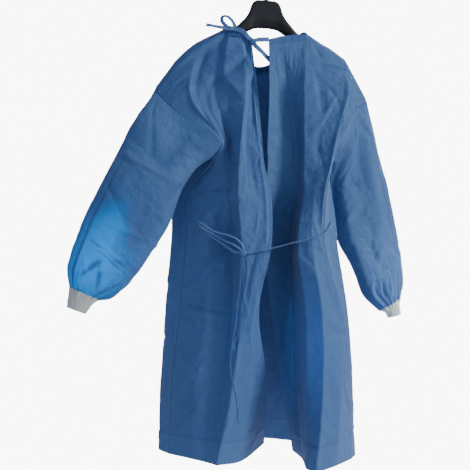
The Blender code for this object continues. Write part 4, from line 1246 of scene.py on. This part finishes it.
tie_cloth = nonwoven("tie_nonwoven", (0.048, 0.115, 0.29), (0.090, 0.19, 0.42), 0.08)
paths = {}
tie_pieces = {}
for name, (width, stops, turns) in TIES.items():
    path, points, uv = ribbon(stops, turns, width, TIE_THICK)
    piece = place(name + "_strip", points.reshape(-1, 3), tube_faces(len(path), len(TIE_SECTION)),
                  tie_cloth, "tie", uv.reshape(-1, 2))
    paint(piece, "tone", np.zeros(points.shape[0] * points.shape[1]))
    paths[name], tie_pieces[name] = path, piece


KNOT_SIDES = 36
KNOT_RINGS = 25
KNOT_REACH = 1.53
KNOT_FLAT = 0.7
KNOT_SLOPE = (0.6, 0.8)
KNOT_TURNS = 2.6
KNOT_BAND = 0.22
KNOT_WAVE = 0.06
KNOT_CORE = 0.92


def knot_mesh(centre, radius):
    """A tied knot: a flattened ball whose radius rises in wound bands that cross its middle, each
    the root of a sine of the height along their slope, and in small waves round it."""
    ball, turn, rise = ball_points(KNOT_SIDES, KNOT_RINGS, KNOT_REACH)
    ball[..., 1] *= KNOT_FLAT
    lean = ball[..., 2] * KNOT_SLOPE[1] + ball[..., 0] * KNOT_SLOPE[0]
    band = np.abs(np.sin(KNOT_TURNS * lean + 1)) ** 0.5 * KNOT_BAND
    band = band + KNOT_WAVE * np.sin(5 * turn + 3 * rise)
    bulged = ball * (radius * (KNOT_CORE + band))[..., None]
    return (np.array(centre, float) + bulged).reshape(-1, 3)


for name, (x, y, z, radius) in KNOTS.items():
    points = knot_mesh((x, y, z), radius)
    piece = place(name + "_wound", points, tube_faces(KNOT_RINGS, KNOT_SIDES), tie_cloth, "tie",
                  points[:, ::2] * MM)
    paint(piece, "tone", np.zeros(len(points)))
    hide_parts(name)
# The solids that each tie stands for, its far end, how it lies and the knots that go with it
TIE_FACTS = {
    "neck_tie_right": (("neck_strap_right", "neck_strap_left"), "knot", "taut",
                       ("neck_knot", "neck_bow_knot")),
    "neck_tie_tail": (("neck_tail_right",), "bare", "hanging", ()),
    "neck_bow_loop": (("neck_bow_loop",), "knot", "loose", ()),
    "neck_bow_tail": (("neck_tail_left",), "bare", "loose", ()),
    "waist_tie_left": (("waist_tie_left",), "knot", "taut", ("waist_knot",)),
    "waist_bow_loop": (("waist_bow_loop",), "knot", "loose", ()),
    "waist_tie_right": (("waist_tie_right",), "knot", "taut", ()),
    "waist_tail_short": (("waist_tail_short",), "bare", "hanging", ()),
    "waist_tail_long": (("waist_tail_long",), "bare", "hanging", ()),
}
for name, (solids, far_end, lay, knots_on) in TIE_FACTS.items():
    path = paths[name] * MM
    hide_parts(*solids)


# The room
# A pale floor well below the hanging gown and white all round. A strong soft lamp stands right of
# the camera, a weak one left and one behind the gown; three small narrow ones shine through the
# left sleeve from behind, on the right sleeve and on the pleats.
FLOOR_HEIGHT = -1.80
FLOOR_REACH = 30.0
WHITE_SEEN = 9.0
ROOM_LIGHT = 0.58
# Each lamp's size, power, place, the point it faces, its colour and its beam in degrees
LAMPS = {
    "key_lamp": (0.8, 110.0, (2.7, -1.5, 0.6), (0.0, 0.0, -0.65), (0.99, 0.99, 0.87), 180),
    "fill_lamp": (1.6, 5.0, (-2.2, -2.4, 0.2), (0.0, 0.0, -0.7), (1.0, 1.0, 1.0), 180),
    "back_lamp": (0.7, 80.0, (1.8, 1.4, 0.6), (0.0, 0.0, -0.6), (0.95, 0.80, 1.0), 180),
    "sleeve_lamp": (0.2, 2.3, (-0.33, 0.60, -0.98), (-0.49, -0.10, -0.82), (0.6, 1.0, 0.95), 32),
    "side_lamp": (0.1, 0.22, (1.5, -1.0, -0.55), (0.38, 0.085, -0.82), (1.0, 1.0, 0.9), 16),
    "pleat_lamp": (0.1, 0.11, (-1.3, -1.6, -0.97), (0.13, -0.12, -0.99), (0.17, 0.5, 1.0), 13),
}


def soft_lamp(name, size, power, at, towards, colour, beam):
    """A square lamp whose own axes are sideways, upwards and away from the point that it faces."""
    data = bpy.data.lights.new(name, "AREA")
    data.spread = math.radians(beam)
    data.size = size
    data.energy = power
    data.color = colour
    lamp = bpy.data.objects.new(name, data)
    away = np.array(at, float) - np.array(towards, float)
    away /= np.linalg.norm(away)
    side = np.cross((0.0, 0.0, 1.0), away)
    side /= np.linalg.norm(side)
    facing = Matrix((side, np.cross(away, side), away)).transposed()
    lamp.matrix_world = Matrix.Translation(at) @ facing.to_4x4()
    bpy.context.scene.collection.objects.link(lamp)


floor_paint, shader, value = finish("floor_paint")
glow = value.node("ShaderNodeEmission", {}, {"Color": (1, 1, 1, 1), "Strength": WHITE_SEEN})
flat_white = value.node("ShaderNodeBsdfDiffuse", {}, {"Color": (0.75, 0.75, 0.75, 1)})
seen = value.node("ShaderNodeLightPath")
mixed = value.node("ShaderNodeMixShader", {}, {0: seen, 1: flat_white, 2: glow})
link(mixed, floor_paint.node_tree.nodes["Material Output"].inputs[0])
floor_mesh = bpy.data.meshes.new("floor")
corners = [(x * FLOOR_REACH, y * FLOOR_REACH, FLOOR_HEIGHT)
           for x, y in ((-1, -1), (1, -1), (1, 1), (-1, 1))]
floor_mesh.from_pydata(corners, [], [(0, 1, 2, 3)])
floor_mesh.materials.append(floor_paint)
floor = bpy.data.objects.new("floor", floor_mesh)
bpy.context.scene.collection.objects.link(floor)

room = bpy.data.worlds.new("room")
bpy.context.scene.world = room
room.use_nodes = True
room.node_tree.nodes.clear()
value = Value(room.node_tree)
lit = value.node("ShaderNodeBackground", {},
                 {"Color": (0.68, 0.76, 1.0, 1), "Strength": ROOM_LIGHT})
white = value.node("ShaderNodeBackground", {}, {"Color": (1, 1, 1, 1), "Strength": WHITE_SEEN})
seen = value.node("ShaderNodeLightPath")
mixed = value.node("ShaderNodeMixShader", {}, {0: seen, 1: lit, 2: white})
link(mixed, room.node_tree.nodes.new("ShaderNodeOutputWorld").inputs[0])

for name, facts in LAMPS.items():
    soft_lamp(name, *facts)
